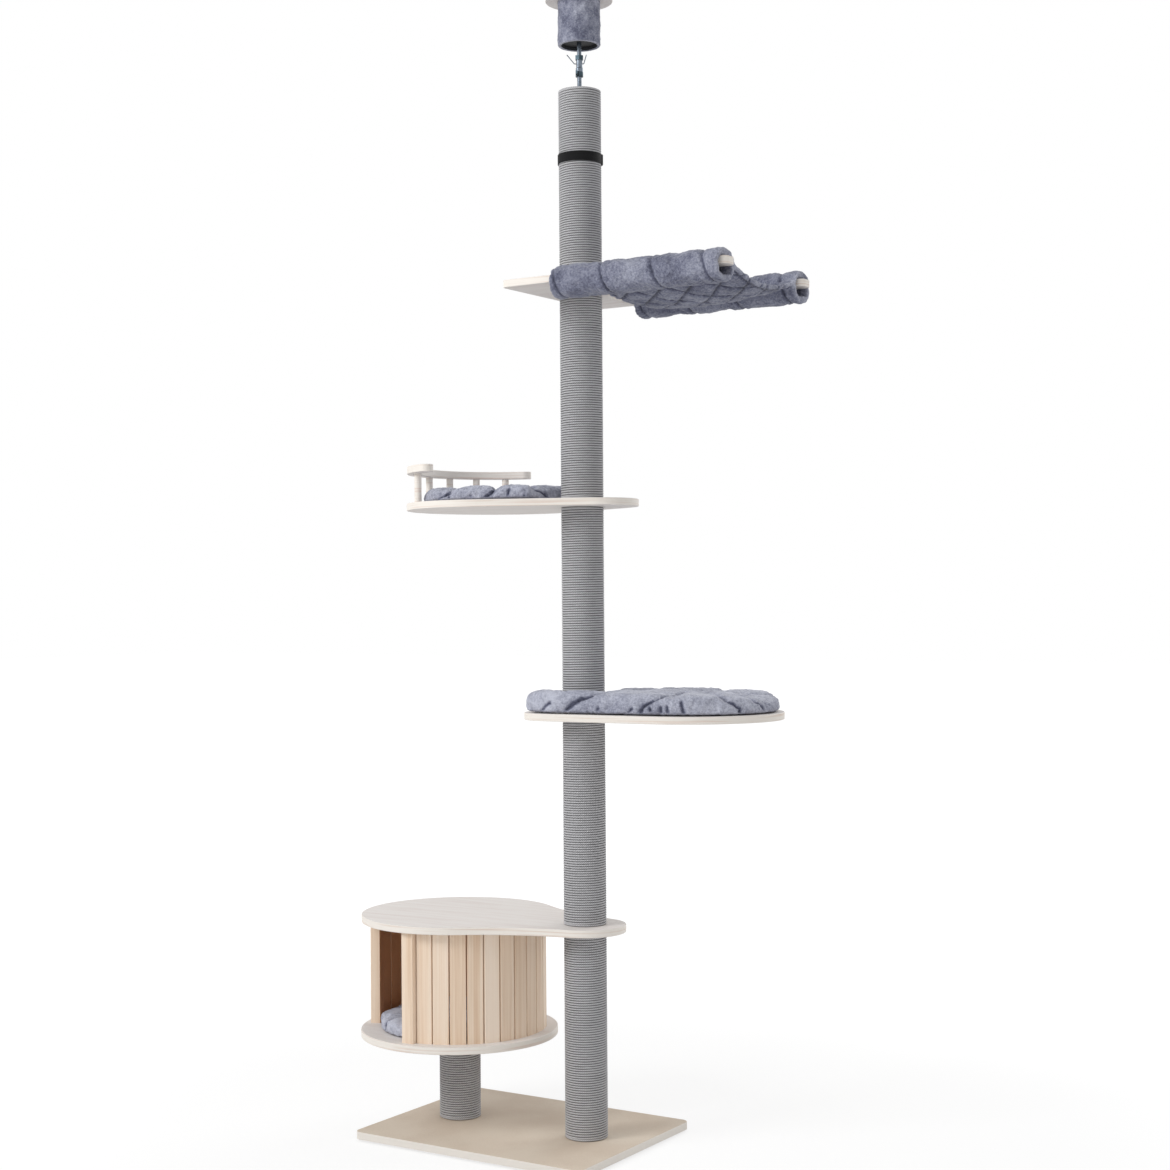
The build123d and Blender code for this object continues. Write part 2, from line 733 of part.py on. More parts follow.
# Ceiling plate, its screws and the grip pad on top
plate_top = column_top + board_t
with BuildPart() as ceiling_plate:
    with BuildSketch(Plane.XY.offset(column_top)):
        Circle(plate_r)
    extrude(amount=board_t)
    fillet(ceiling_plate.edges().filter_by(GeomType.CIRCLE), plate_edge_r)
    with Locations((0, 0, plate_top)):
        with PolarLocations(screw_ring_r, screw_count):
            CounterBoreHole(screw_r, screw_head_r, screw_head_t)
ceiling_plate.part.label = "ceiling_plate"
export_step(ceiling_plate.part, "parts/ceiling_plate.step")

with BuildPart() as plate_screws:
    with BuildSketch(Plane.XY.offset(plate_top)):
        with PolarLocations(screw_ring_r, screw_count):
            Circle(screw_head_r)
    extrude(amount=-screw_head_t)
    with BuildSketch(Plane.XY.offset(plate_top)):
        with PolarLocations(screw_ring_r, screw_count):
            Circle(screw_r)
    extrude(amount=-screw_len)
plate_screws.part.label = "plate_screws"
export_step(plate_screws.part, "parts/plate_screws.step")

with BuildPart() as plate_pad:
    with BuildSketch(Plane.XY.offset(plate_top)):
        Circle(plate_r - pad_inset)
    extrude(amount=pad_t)
plate_pad.part.label = "plate_pad"
export_step(plate_pad.part, "parts/plate_pad.step")
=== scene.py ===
"""The looks of a floor-to-ceiling cat tree: its finishes, rope windings, soft pieces, studio and camera.

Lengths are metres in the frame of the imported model. The tall post stands on the origin, +X runs along the
base's long side away from the house, +Y points to the back and +Z is up.
"""
import json
import logging
import math
from dataclasses import dataclass, field
from enum import Enum
from typing import Any, Iterable, Sequence

import bpy
import numpy as np
from mathutils import Matrix, Vector


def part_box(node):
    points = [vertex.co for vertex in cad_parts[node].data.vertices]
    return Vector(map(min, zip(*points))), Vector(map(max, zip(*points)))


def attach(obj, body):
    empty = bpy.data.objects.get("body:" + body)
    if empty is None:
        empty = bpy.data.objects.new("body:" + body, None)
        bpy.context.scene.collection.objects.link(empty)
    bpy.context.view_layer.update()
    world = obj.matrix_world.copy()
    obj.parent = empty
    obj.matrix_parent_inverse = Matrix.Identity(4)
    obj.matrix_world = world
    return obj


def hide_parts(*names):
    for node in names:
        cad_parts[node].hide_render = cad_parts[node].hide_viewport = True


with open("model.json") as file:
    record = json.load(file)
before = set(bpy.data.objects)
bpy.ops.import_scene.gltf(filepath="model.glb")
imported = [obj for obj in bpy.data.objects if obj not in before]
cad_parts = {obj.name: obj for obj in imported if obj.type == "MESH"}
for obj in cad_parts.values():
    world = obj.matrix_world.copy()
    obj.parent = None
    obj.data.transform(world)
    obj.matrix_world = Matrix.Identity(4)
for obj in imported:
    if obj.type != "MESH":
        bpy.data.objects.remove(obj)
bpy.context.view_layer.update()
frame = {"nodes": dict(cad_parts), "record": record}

log = logging.getLogger("cat_tree")
Colour = tuple[float, float, float, float]
Point = tuple[float, float, float]
Spot = tuple[float, float]
# The mesh attribute that holds the pile's painted light and shade at each point, and on the column cover its mottling
# as well.
SHADE = "shade"


class Body(str, Enum):
    """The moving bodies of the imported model."""

    FRAME = "post_frame"
    LOWER_PAD = "lower_pad"
    UPPER_PAD = "upper_pad"
    CLOTH = "hammock_cloth"
    JACK = "ceiling_jack"


class Slot(str, Enum):
    """The record's material slots."""

    WHITE_BOARD = "white_board"
    BASE_BOARD = "base_board"
    PINE = "pine"
    PLUG_WOOD = "plug_wood"
    ROPE = "rope"
    PLUSH = "plush"
    WEBBING = "webbing"
    CARDBOARD = "cardboard"
    ZINC = "zinc_steel"
    DARK_STEEL = "dark_steel"
    DARK_PLASTIC = "dark_plastic"
    FOOT_RUBBER = "foot_rubber"
    PAD_RUBBER = "pad_rubber"


def paint(red: int, green: int, blue: int) -> Colour:
    """A shader colour from the three 0 to 255 values of a colour chart.

    Args:
        red, green, blue: the display values.

    Returns:
        The linear colour with full alpha.
    """
    shares = [value / 255 for value in (red, green, blue)]
    linear = [s / 12.92 if s <= 0.04045 else ((s + 0.055) / 1.055) ** 2.4 for s in shares]
    return (linear[0], linear[1], linear[2], 1.0)


class Wire:
    """The output of a shader node, so that sums on it read as Python."""

    def __init__(self, shader: "Shader", socket: bpy.types.NodeSocket) -> None:
        """Keeps the shader that the socket belongs to."""
        self.shader = shader
        self.socket = socket

    def _sum(self, operation: str, *values: "Wire | float") -> "Wire":
        """Adds a Math node over the values."""
        return self.shader.node("ShaderNodeMath", dict(enumerate(values)), operation=operation)

    def __add__(self, other: "Wire | float") -> "Wire":
        """The sum."""
        return self._sum("ADD", self, other)

    __radd__ = __add__

    def __sub__(self, other: "Wire | float") -> "Wire":
        """The difference."""
        return self._sum("SUBTRACT", self, other)

    def __rsub__(self, other: "Wire | float") -> "Wire":
        """The difference, the other way round."""
        return self._sum("SUBTRACT", other, self)

    def __mul__(self, other: "Wire | float") -> "Wire":
        """The product."""
        return self._sum("MULTIPLY", self, other)

    __rmul__ = __mul__

    def __truediv__(self, other: "Wire | float") -> "Wire":
        """The quotient."""
        return self._sum("DIVIDE", self, other)

    def __pow__(self, other: "Wire | float") -> "Wire":
        """The power."""
        return self._sum("POWER", self, other)

    def __gt__(self, other: "Wire | float") -> "Wire":
        """1 where this is greater, otherwise 0."""
        return self._sum("GREATER_THAN", self, other)

    def sine(self) -> "Wire":
        """The sine of an angle in radians."""
        return self._sum("SINE", self)

    def floor(self) -> "Wire":
        """The whole number below."""
        return self._sum("FLOOR", self)

    def fraction(self) -> "Wire":
        """What is left above the whole number."""
        return self._sum("FRACT", self)

    def size(self) -> "Wire":
        """The value without its sign."""
        return self._sum("ABSOLUTE", self)

    def turn(self, across: "Wire") -> "Wire":
        """The angle whose sine goes with this value and whose cosine goes with across."""
        return self._sum("ARCTAN2", self, across)

    def reach(self, across: "Wire") -> "Wire":
        """How far a place with these two parts is from the middle."""
        return (self * self + across * across) ** 0.5


class Shader:
    """The nodes of one material or of the surroundings."""

    def __init__(self, owner: bpy.types.Material | bpy.types.World) -> None:
        """Empties the owner's node tree.

        Args:
            owner: what the nodes are for.
        """
        owner.use_nodes = True
        self.owner = owner
        self.tree = owner.node_tree
        self.tree.nodes.clear()

    def node(
        self,
        kind: str,
        inputs: dict[int | str, Any] | None = None,
        output: int | str = 0,
        stops: Sequence[tuple[float, Colour]] = (),
        **settings: Any,
    ) -> Wire:
        """Adds one node.

        Args:
            kind: the node's type.
            inputs: values or wires by socket name or number.
            output: the socket that the result comes from.
            stops: a ramp's places and colours.
            settings: the node's own settings, set before its sockets.

        Returns:
            The chosen output.
        """
        made = self.tree.nodes.new(kind)
        for name, value in settings.items():
            setattr(made, name, value)
        for number, (place, colour) in enumerate(stops):
            stop = made.color_ramp.elements[number] if number < 2 else made.color_ramp.elements.new(place)
            stop.position, stop.color = place, colour
        for key, value in (inputs or {}).items():
            if isinstance(value, Wire):
                self.tree.links.new(value.socket, made.inputs[key])
            else:
                made.inputs[key].default_value = value
        return Wire(self, made.outputs[output])

    def place(self, offset: Point = (0, 0, 0), scale: Point = (1, 1, 1)) -> Wire:
        """Object coordinates, moved and then stretched."""
        here = self.node("ShaderNodeTexCoord", output="Object")
        return self.node("ShaderNodeMapping", {"Vector": here, "Location": offset, "Scale": scale}, vector_type="POINT")

    def axes(self, vector: Wire) -> tuple[Wire, Wire, Wire]:
        """Splits a vector.

        Args:
            vector: the vector.

        Returns:
            Its three parts.
        """
        parts = self.node("ShaderNodeSeparateXYZ", {0: vector})
        made = parts.socket.node
        return tuple(Wire(self, made.outputs[number]) for number in range(3))

    def vector(self, x: Wire | float, y: Wire | float, z: Wire | float) -> Wire:
        """A vector from three parts."""
        return self.node("ShaderNodeCombineXYZ", {0: x, 1: y, 2: z})

    def noise(self, vector: Wire, scale: float, *, detail: float = 2.0, roughness: float = 0.5) -> Wire:
        """Adds cloudy noise.

        Args:
            vector: the place that it is read at.
            scale: how many clouds there are in a metre.
            detail: how many finer layers it has.
            roughness: how strong those layers are.

        Returns:
            A value from 0 to 1.
        """
        return self.node(
            "ShaderNodeTexNoise", {"Vector": vector, "Scale": scale, "Detail": detail, "Roughness": roughness}
        )

    def blend(self, share: Wire | float, first: Wire | Colour, second: Wire | Colour) -> Wire:
        """A colour between two."""
        return self.node("ShaderNodeMix", {0: share, 6: first, 7: second}, output=2, data_type="RGBA")

    def ramp(self, value: Wire, *stops: tuple[float, Colour]) -> Wire:
        """A colour picked along stops."""
        return self.node("ShaderNodeValToRGB", {0: value}, stops=stops)

    def between(self, value: Wire, low: float, high: float) -> Wire:
        """Runs smoothly from 0 to 1 as a value passes from one limit to the other.

        Args:
            value: the value.
            low: where the run starts.
            high: where it ends.

        Returns:
            0 before low, 1 past high and a smooth run between.
        """
        return self.node(
            "ShaderNodeMapRange", {0: value, 1: low, 2: high, 3: 0.0, 4: 1.0}, interpolation_type="SMOOTHSTEP"
        )

    def facing_up(self) -> Wire:
        """How far a surface faces up or down, from 0 to 1."""
        normal = self.node("ShaderNodeNewGeometry", output="Normal")
        return self.axes(normal)[2].size()

    def surface(
        self,
        colour: Wire | Colour,
        roughness: Wire | float,
        height: Wire | None = None,
        depth: float = 0.001,
        strength: float = 0.5,
        **fixed: float,
    ) -> bpy.types.Material:
        """Closes the material.

        Args:
            colour: the base colour.
            roughness: the roughness.
            height: what raises the surface, or None.
            depth: how high a height of 1 stands, in metres.
            strength: the share of that height that shows.
            fixed: other sockets of the surface shader, spaces written as underscores.

        Returns:
            The material.
        """
        sockets: dict[int | str, Any] = {"Base Color": colour, "Roughness": roughness}
        sockets |= {name.replace("_", " "): value for name, value in fixed.items()}
        if height is not None:
            sockets["Normal"] = self.node(
                "ShaderNodeBump", {"Height": height, "Distance": depth, "Strength": strength}
            )
        self.close(self.node("ShaderNodeBsdfPrincipled", sockets))
        return self.owner

    def close(self, result: Wire, kind: str = "ShaderNodeOutputMaterial") -> None:
        """Links the last shader to an output node of the given kind."""
        out = self.tree.nodes.new(kind)
        self.tree.links.new(result.socket, out.inputs["Surface"])


@dataclass(frozen=True)
class Plush:
    """Short blue-grey pile, brushed in patches, with painted shade in its creases and painted highlights on rolled
    rims.
    """

    light: Colour = paint(202, 205, 219)
    middle: Colour = paint(153, 156, 173)
    dark: Colour = paint(104, 107, 127)
    # deep is the colour of the painted shade that the creases pull the pile down to.
    deep: Colour = paint(40, 42, 54)
    patch_scale: float = 19.0
    tuft_scale: float = 210.0
    pile_scale: float = 560.0
    patch_share: float = 0.34
    tuft_share: float = 0.4
    pile_share: float = 0.26

    def material(self) -> bpy.types.Material:
        """Builds the material.

        Returns:
            The material.
        """
        sh = Shader(bpy.data.materials.new("plush"))
        here = sh.place()
        patches = sh.noise(here, self.patch_scale)
        tufts = sh.noise(here, self.tuft_scale, detail=3.0, roughness=0.7)
        pile = sh.noise(here, self.pile_scale, roughness=0.6)
        # The shade attribute adds each piece's painted light and shade to the pile's own tone.
        shade = sh.node("ShaderNodeAttribute", output="Fac", attribute_name=SHADE)
        tone = patches * self.patch_share + tufts * self.tuft_share + pile * self.pile_share + shade
        colour = sh.ramp(tone, (0.12, self.deep), (0.66, self.light), (0.37, self.dark), (0.51, self.middle))
        height = pile * 0.5 + tufts * 0.5
        return sh.surface(
            colour, roughness=0.9, height=height, depth=0.003, strength=0.7,
            Sheen_Weight=0.4, Sheen_Roughness=0.35, Specular_IOR_Level=0.15,
        )


@dataclass(frozen=True)
class WashedBoard:
    """White-washed wood: pale faces with faint rosy grain, warmer edges with fine layers."""

    face: Colour = paint(228, 223, 219)
    grain: Colour = paint(219, 210, 205)
    edge: Colour = paint(243, 237, 229)
    layer: Colour = paint(230, 214, 202)
    top_facing: Spot = (0.55, 0.9)
    grain_run: Spot = (0.44, 0.66)
    layer_run: Spot = (0.5, 0.72)

    def material(self) -> bpy.types.Material:
        """Builds the material.

        Returns:
            The material.
        """
        sh = Shader(bpy.data.materials.new("washed_board"))
        long_grain = sh.noise(sh.place(scale=(2.2, 34.0, 34.0)), 1.6, detail=6.0, roughness=0.62)
        fine_grain = sh.noise(sh.place(scale=(9.0, 260.0, 260.0)), 1.0, detail=3.0, roughness=0.6)
        wash = sh.noise(sh.place(), 5.0, detail=3.0)
        share = sh.between(long_grain * 0.6 + fine_grain * 0.2 + wash * 0.2, *self.grain_run)
        face = sh.blend(share, self.face, self.grain)
        layers = sh.noise(sh.place(scale=(5.0, 5.0, 330.0)), 1.0)
        edge = sh.blend(sh.between(layers, *self.layer_run), self.edge, self.layer)
        colour = sh.blend(sh.between(sh.facing_up(), *self.top_facing), edge, face)
        return sh.surface(
            colour, roughness=fine_grain * 0.15 + 0.55, height=fine_grain, depth=0.0004, strength=0.35
        )


@dataclass(frozen=True)
class BaseBoard:
    """The base: matte beige on top, whitish round the edge."""

    top: Colour = paint(220, 207, 190)
    shade: Colour = paint(209, 193, 175)
    edge: Colour = paint(238, 232, 224)
    top_facing: Spot = (0.55, 0.9)
    cloud_run: Spot = (0.38, 0.62)

    def material(self) -> bpy.types.Material:
        """Builds the material.

        Returns:
            The material.
        """
        sh = Shader(bpy.data.materials.new("base_board_finish"))
        cloud = sh.noise(sh.place(), 7.0, detail=4.0)
        fleck = sh.noise(sh.place(scale=(1.0, 3.0, 1.0)), 300.0)
        top = sh.blend(sh.between(cloud * 0.6 + fleck * 0.4, *self.cloud_run), self.top, self.shade)
        colour = sh.blend(sh.between(sh.facing_up(), *self.top_facing), self.edge, top)
        return sh.surface(colour, roughness=0.72, height=fleck, depth=0.0003, strength=0.3)


@dataclass(frozen=True)
class Pine:
    """Upright pine: each slat round the house has its own tone and grain, and the faces turned into the house get
    painted shade, darker and browner.
    """

    light: Colour = paint(251, 233, 214)
    middle: Colour = paint(241, 218, 194)
    dark: Colour = paint(216, 181, 148)
    # The painted shade of the faces turned into the house.
    inside: Colour = paint(214, 158, 114)
    centre_x: float = -0.326
    first_edge: float = math.radians(-82.708)
    pitch: float = math.radians(11.097)
    inside_shade_run: Spot = (-0.02, -0.12)

    def material(self) -> bpy.types.Material:
        """Builds the material.

        Returns:
            The material.
        """
        sh = Shader(bpy.data.materials.new("pine"))
        x, y, z = sh.axes(sh.place(offset=(-self.centre_x, 0, 0)))
        angle = y.turn(x) - self.first_edge
        slat = ((angle / math.tau).fraction() * (math.tau / self.pitch)).floor()
        own = sh.node("ShaderNodeTexWhiteNoise", {"W": slat}, noise_dimensions="1D")
        along = z * 1.6 + own * 9.0
        broad = sh.noise(sh.vector(x * 55.0, y * 55.0, along), 1.0, detail=3.0, roughness=0.55)
        lines = sh.noise(sh.vector(x * 330.0, y * 330.0, along * 2.0), 1.0, detail=3.0, roughness=0.6)
        tone = broad * 0.55 + lines * 0.3 + own * 0.16
        outer = sh.ramp(tone, (0.36, self.light), (0.74, self.dark), (0.53, self.middle))
        # Faces turned into the house are painted in the shade colour.
        across, along_y, _ = sh.axes(sh.node("ShaderNodeNewGeometry", output="Normal"))
        inner = sh.between(across * x + along_y * y, *self.inside_shade_run)
        colour = sh.blend(inner, outer, self.inside)
        return sh.surface(colour, roughness=lines * 0.2 + 0.5, height=lines, depth=0.0005, strength=0.4)


@dataclass(frozen=True)
class RopeFibre:
    """Grey paper rope: twisted strands, with painted shade where the turns meet."""

    pitch: float
    foot: float
    centre_x: float
    light: Colour = paint(214, 214, 217)
    dark: Colour = paint(152, 151, 153)
    # The painted shade in the grooves where the turns meet.
    painted_groove_shade: Colour = paint(44, 42, 41)
    gap_r: float = 0.0430
    crest_r: float = 0.0446
    strands: int = 70
    strand_share: float = 0.34
    fibre_share: float = 0.5
    worn_share: float = 0.16

    def material(self, name: str) -> bpy.types.Material:
        """Builds the material for windings round one post.

        Args:
            name: the material's name.

        Returns:
            The material.
        """
        sh = Shader(bpy.data.materials.new(name))
        x, y, z = sh.axes(sh.place(offset=(-self.centre_x, 0, 0)))
        angle = y.turn(x)
        level = (z - self.foot) * (math.tau / self.pitch)
        strand = (angle * float(self.strands) + level).sine() * 0.5 + 0.5
        fibre = sh.noise(sh.vector(x * 300.0, y * 300.0, z * 1500.0), 1.0, detail=3.0, roughness=0.6)
        worn = sh.noise(sh.place(scale=(1.0, 1.0, 0.6)), 9.0, detail=3.0)
        tone = strand * self.strand_share + fibre * self.fibre_share + worn * self.worn_share
        fair = sh.blend(sh.between(tone, 0.3, 0.68), self.dark, self.light)
        # Painted shade on the inner side of each turn, where it meets the next.
        colour = sh.blend(sh.between(x.reach(y), self.gap_r, self.crest_r), self.painted_groove_shade, fair)
        return sh.surface(
            colour, roughness=0.82, height=strand * 0.6 + fibre * 0.4, depth=0.0009, strength=0.6,
            Specular_IOR_Level=0.3,
        )


@dataclass(frozen=True)
class Metal:
    """A metal: its colour, roughness and fine marks."""

    name: str
    colour: Colour
    roughness: float
    metallic: float = 1.0
    darker_share: float = 0.72

    def material(self) -> bpy.types.Material:
        """Builds the material.

        Returns:
            The material.
        """
        sh = Shader(bpy.data.materials.new(self.name))
        marks = sh.noise(sh.place(scale=(1.0, 1.0, 0.2)), 900.0, detail=3.0)
        cloud = sh.noise(sh.place(), 120.0)
        darker = tuple(self.darker_share * part for part in self.colour[:3]) + (1.0,)
        colour = sh.blend(sh.between(cloud, 0.4, 0.7), self.colour, darker)
        return sh.surface(
            colour, roughness=marks * 0.25 + self.roughness, height=marks, depth=0.0002, strength=0.25,
            Metallic=self.metallic,
        )


@dataclass(frozen=True)
class Plain:
    """A dull solid such as rubber, plastic or cardboard, with a fine tooth."""

    name: str
    colour: Colour
    second: Colour
    roughness: float = 0.7
    tooth_scale: float = 700.0
    stretch: Point = (1.0, 1.0, 1.0)
    shine: float = 0.5
    cloud_size: float = 12.0

    def material(self) -> bpy.types.Material:
        """Builds the material.

        Returns:
            The material.
        """
        sh = Shader(bpy.data.materials.new(self.name))
        tooth = sh.noise(sh.place(scale=self.stretch), self.tooth_scale)
        cloud = sh.noise(sh.place(scale=self.stretch), self.tooth_scale / self.cloud_size, detail=3.0)
        colour = sh.blend(sh.between(cloud, 0.35, 0.65), self.colour, self.second)
        return sh.surface(
            colour, roughness=self.roughness, height=tooth, depth=0.0003, strength=0.4,
            Specular_IOR_Level=self.shine,
        )


@dataclass(frozen=True)
class Webbing:
    """Black strap webbing: ribs across and a woven herringbone along."""

    thread: Colour = paint(12, 12, 15)
    hollow: Colour = paint(4, 4, 5)
    ribs: float = 420.0
    picks: float = 210.0
    lean: float = 1.5

    def material(self) -> bpy.types.Material:
        """Builds the material.

        Returns:
            The material.
        """
        sh = Shader(bpy.data.materials.new("webbing"))
        x, y, z = sh.axes(sh.place())
        angle = y.turn(x)
        weave = (angle * self.picks + (z * (self.ribs * math.tau)).sine() * self.lean).sine() * 0.5 + 0.5
        fluff = sh.noise(sh.place(), 1500.0)
        colour = sh.blend(sh.between(weave * 0.7 + fluff * 0.3, 0.2, 0.8), self.hollow, self.thread)
        return sh.surface(colour, roughness=0.7, height=weave, depth=0.0005, strength=0.6, Specular_IOR_Level=0.2)


def lone(selected: bpy.types.Object) -> None:
    """Makes one object the only selected one, and the active one.

    Args:
        selected: the object.
    """
    if bpy.context.object and bpy.context.object.mode != "OBJECT":
        bpy.ops.object.mode_set(mode="OBJECT")
    bpy.ops.object.select_all(action="DESELECT")
    selected.select_set(True)
    bpy.context.view_layer.objects.active = selected


def settle(piece: bpy.types.Object) -> None:
    """Moves an object's place, turn and scale into its mesh."""
    lone(piece)
    bpy.ops.object.transform_apply(location=True, rotation=True, scale=True)


def shape_with(piece: bpy.types.Object, kind: str, **settings: Any) -> None:
    """Adds a modifier and applies it.

    Args:
        piece: the object.
        kind: the modifier's type.
        settings: its settings.
    """
    lone(piece)
    modifier = piece.modifiers.new(kind.lower(), kind)
    for name, value in settings.items():
        setattr(modifier, name, value)
    bpy.ops.object.modifier_apply(modifier=modifier.name)


def smooth(piece: bpy.types.Object, angle: float | None = None) -> None:
    """Shades a piece smooth.

    Args:
        piece: the piece.
        angle: edges sharper than this many degrees stay sharp; None if none do.
    """
    lone(piece)
    if angle is None:
        bpy.ops.object.shade_smooth()
    else:
        bpy.ops.object.shade_smooth_by_angle(angle=math.radians(angle))


def dress(piece: bpy.types.Object, finish: bpy.types.Material) -> None:
    """Gives every face of a piece one finish.

    Args:
        piece: the piece.
        finish: its material.
    """
    if piece.data.materials:
        for number in range(len(piece.data.materials)):
            piece.data.materials[number] = finish
    else:
        piece.data.materials.append(finish)


def points_of(piece: bpy.types.Object) -> np.ndarray:
    """Reads where a mesh's points are.

    Args:
        piece: the object whose mesh is read.

    Returns:
        Their places, one row each.
    """
    flat = np.zeros(len(piece.data.vertices) * 3)
    piece.data.vertices.foreach_get("co", flat)
    return flat.reshape(-1, 3)


def normals_of(piece: bpy.types.Object) -> np.ndarray:
    """Reads which way a mesh's points face.

    Args:
        piece: the object whose mesh is read.

    Returns:
        Their directions, one row each.
    """
    flat = np.zeros(len(piece.data.vertices) * 3)
    piece.data.vertex_normals.foreach_get("vector", flat)
    return flat.reshape(-1, 3)


def move_points(piece: bpy.types.Object, places: np.ndarray) -> None:
    """Puts a mesh's points at new places."""
    piece.data.vertices.foreach_set("co", places.astype(np.float32).ravel())
    piece.data.update()


def set_shades(piece: bpy.types.Object, shades: np.ndarray) -> None:
    """Stores the pile's painted light and shade at each of a mesh's points, with any mottling added in."""
    stored = piece.data.attributes.new(SHADE, "FLOAT", "POINT")
    stored.data.foreach_set("value", shades.astype(np.float32))


def ripples(places: np.ndarray, wavelength: float, seed: int, waves: int = 14) -> np.ndarray:
    """Smooth noise, mostly between -1 and 1.

    Args:
        places: points, one row each.
        wavelength: the usual distance from crest to crest.
        seed: what the noise starts from.
        waves: how many waves are summed.

    Returns:
        One value for each point.
    """
    draw = np.random.default_rng(seed)
    ways = draw.normal(size=(waves, 3))
    ways /= np.linalg.norm(ways, axis=1, keepdims=True)
    ways *= math.tau / wavelength * draw.uniform(0.65, 1.5, (waves, 1))
    starts = draw.uniform(0, math.tau, waves)
    return np.sin(places @ ways.T + starts).sum(axis=1) / math.sqrt(waves)


def roughness(places: np.ndarray, sizes: Sequence[Spot], seed: int) -> np.ndarray:
    """Smooth noise of several sizes, one on top of the other.

    Args:
        places: points, one row each.
        sizes: the height and wavelength of each.
        seed: what the first starts from; the next one starts from the next number.

    Returns:
        One height for each point.
    """
    return sum(height * ripples(places, length, seed + number) for number, (height, length) in enumerate(sizes))


def nearness(
    places: np.ndarray, faces: np.ndarray, line: Sequence[Sequence[float]], reach: float = 0.012
) -> np.ndarray:
    """The distance along the surface from each point to a line of straight runs.

    Args:
        places: points, one row each.
        faces: the directions in which they face.
        line: the line's corners, in plan or in space.
        reach: how far above or below a point a line in space may pass.

    Returns:
        One distance for each point.
    """
    size = len(line[0])
    best = np.full(len(places), 1e9)
    for start, end in zip(line[:-1], line[1:]):
        run = np.array(end) - np.array(start)
        apart = places[:, :size] - np.array(start)
        apart = apart - np.clip(apart @ run / (run @ run), 0, 1)[:, None] * run
        if size == 3:
            deep = (apart * faces).sum(axis=1)
            apart = apart - deep[:, None] * faces
            apart = np.column_stack([apart, np.maximum(np.abs(deep) - reach, 0)])
        best = np.minimum(best, np.linalg.norm(apart, axis=1))
    return best


def wind(
    name: str, sides: int, section_r: float, axis_r: float, pitch: float, turns: int, start_z: float, steps: int = 48
) -> bpy.types.Object:
    """Winds a round or cornered section into a closed helix about the Z axis.

    Args:
        name: the new object's name.
        sides: corners of the section; one of three is turned to point outwards.
        section_r: the section's radius.
        axis_r: how far its middle is from the axis.
        pitch: the rise of a turn.
        turns: the number of turns.
        start_z: the height of the first turn's middle.
        steps: divisions of a turn.

    Returns:
        The object, with its place in its mesh.
    """
    bpy.ops.object.select_all(action="DESELECT")
    bpy.ops.mesh.primitive_circle_add(
        vertices=sides, radius=section_r, location=(axis_r, 0, start_z), rotation=(math.pi / 2, 0, 0)
    )
    coil = bpy.context.object
    coil.name = coil.data.name = name
    settle(coil)
    if sides == 3:
        bpy.ops.object.mode_set(mode="EDIT")
        bpy.ops.mesh.select_all(action="SELECT")
        bpy.ops.transform.rotate(value=math.pi / 2, orient_axis="Y", center_override=(axis_r, 0, start_z))
        bpy.ops.object.mode_set(mode="OBJECT")
    shape_with(
        coil, "SCREW", axis="Z", angle=math.tau, screw_offset=pitch, iterations=turns,
        steps=steps, render_steps=steps, use_smooth_shade=True,
    )
    bpy.ops.object.mode_set(mode="EDIT")
    bpy.ops.mesh.select_all(action="SELECT")
    bpy.ops.mesh.remove_doubles(threshold=1e-6)
    bpy.ops.mesh.select_all(action="SELECT")
    bpy.ops.mesh.fill_holes(sides=sides)
    bpy.ops.mesh.select_all(action="SELECT")
    bpy.ops.mesh.normals_make_consistent(inside=False)
    bpy.ops.object.mode_set(mode="OBJECT")
    return coil


def turned_shell(name: str, rings: Sequence[Spot], corners: int) -> bpy.types.Object:
    """Raises a closed shell of revolution ring by ring about the Z axis.

    Args:
        name: the new object's name.
        rings: the radius and height of each ring, round the closed outline of the wall.
        corners: divisions round the axis.

    Returns:
        The object, with its place in its mesh.
    """
    bpy.ops.object.select_all(action="DESELECT")
    first_r, first_z = rings[0]
    bpy.ops.mesh.primitive_circle_add(vertices=corners, radius=first_r, location=(0, 0, first_z))
    shell = bpy.context.object
    shell.name = shell.data.name = name
    settle(shell)
    bpy.ops.object.mode_set(mode="EDIT")
    bpy.ops.mesh.select_all(action="SELECT")
    radius, height = first_r, first_z
    for next_r, next_z in rings[1:]:
        bpy.ops.mesh.extrude_edges_move(TRANSFORM_OT_translate={"value": (0, 0, next_z - height)})
        share = next_r / radius
        bpy.ops.transform.resize(value=(share, share, 1), center_override=(0, 0, next_z))
        radius, height = next_r, next_z
    bpy.ops.mesh.select_all(action="DESELECT")
    bpy.ops.mesh.select_non_manifold()
    bpy.ops.mesh.bridge_edge_loops()
    bpy.ops.mesh.select_all(action="SELECT")
    bpy.ops.mesh.normals_make_consistent(inside=False)
    bpy.ops.object.mode_set(mode="OBJECT")
    return shell


def hand_over(piece: bpy.types.Object, body: Body, nodes: Iterable[str] = ()) -> None:
    """Puts a finished piece on its body and hides what it stands for.

    Args:
        piece: the finished piece.
        body: the body that it moves with.
        nodes: the CAD nodes that it replaces.
    """
    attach(piece, body.value)
    if nodes:
        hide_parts(*nodes)
    log.info("%s: %d faces on %s", piece.name, len(piece.data.polygons), body.value)


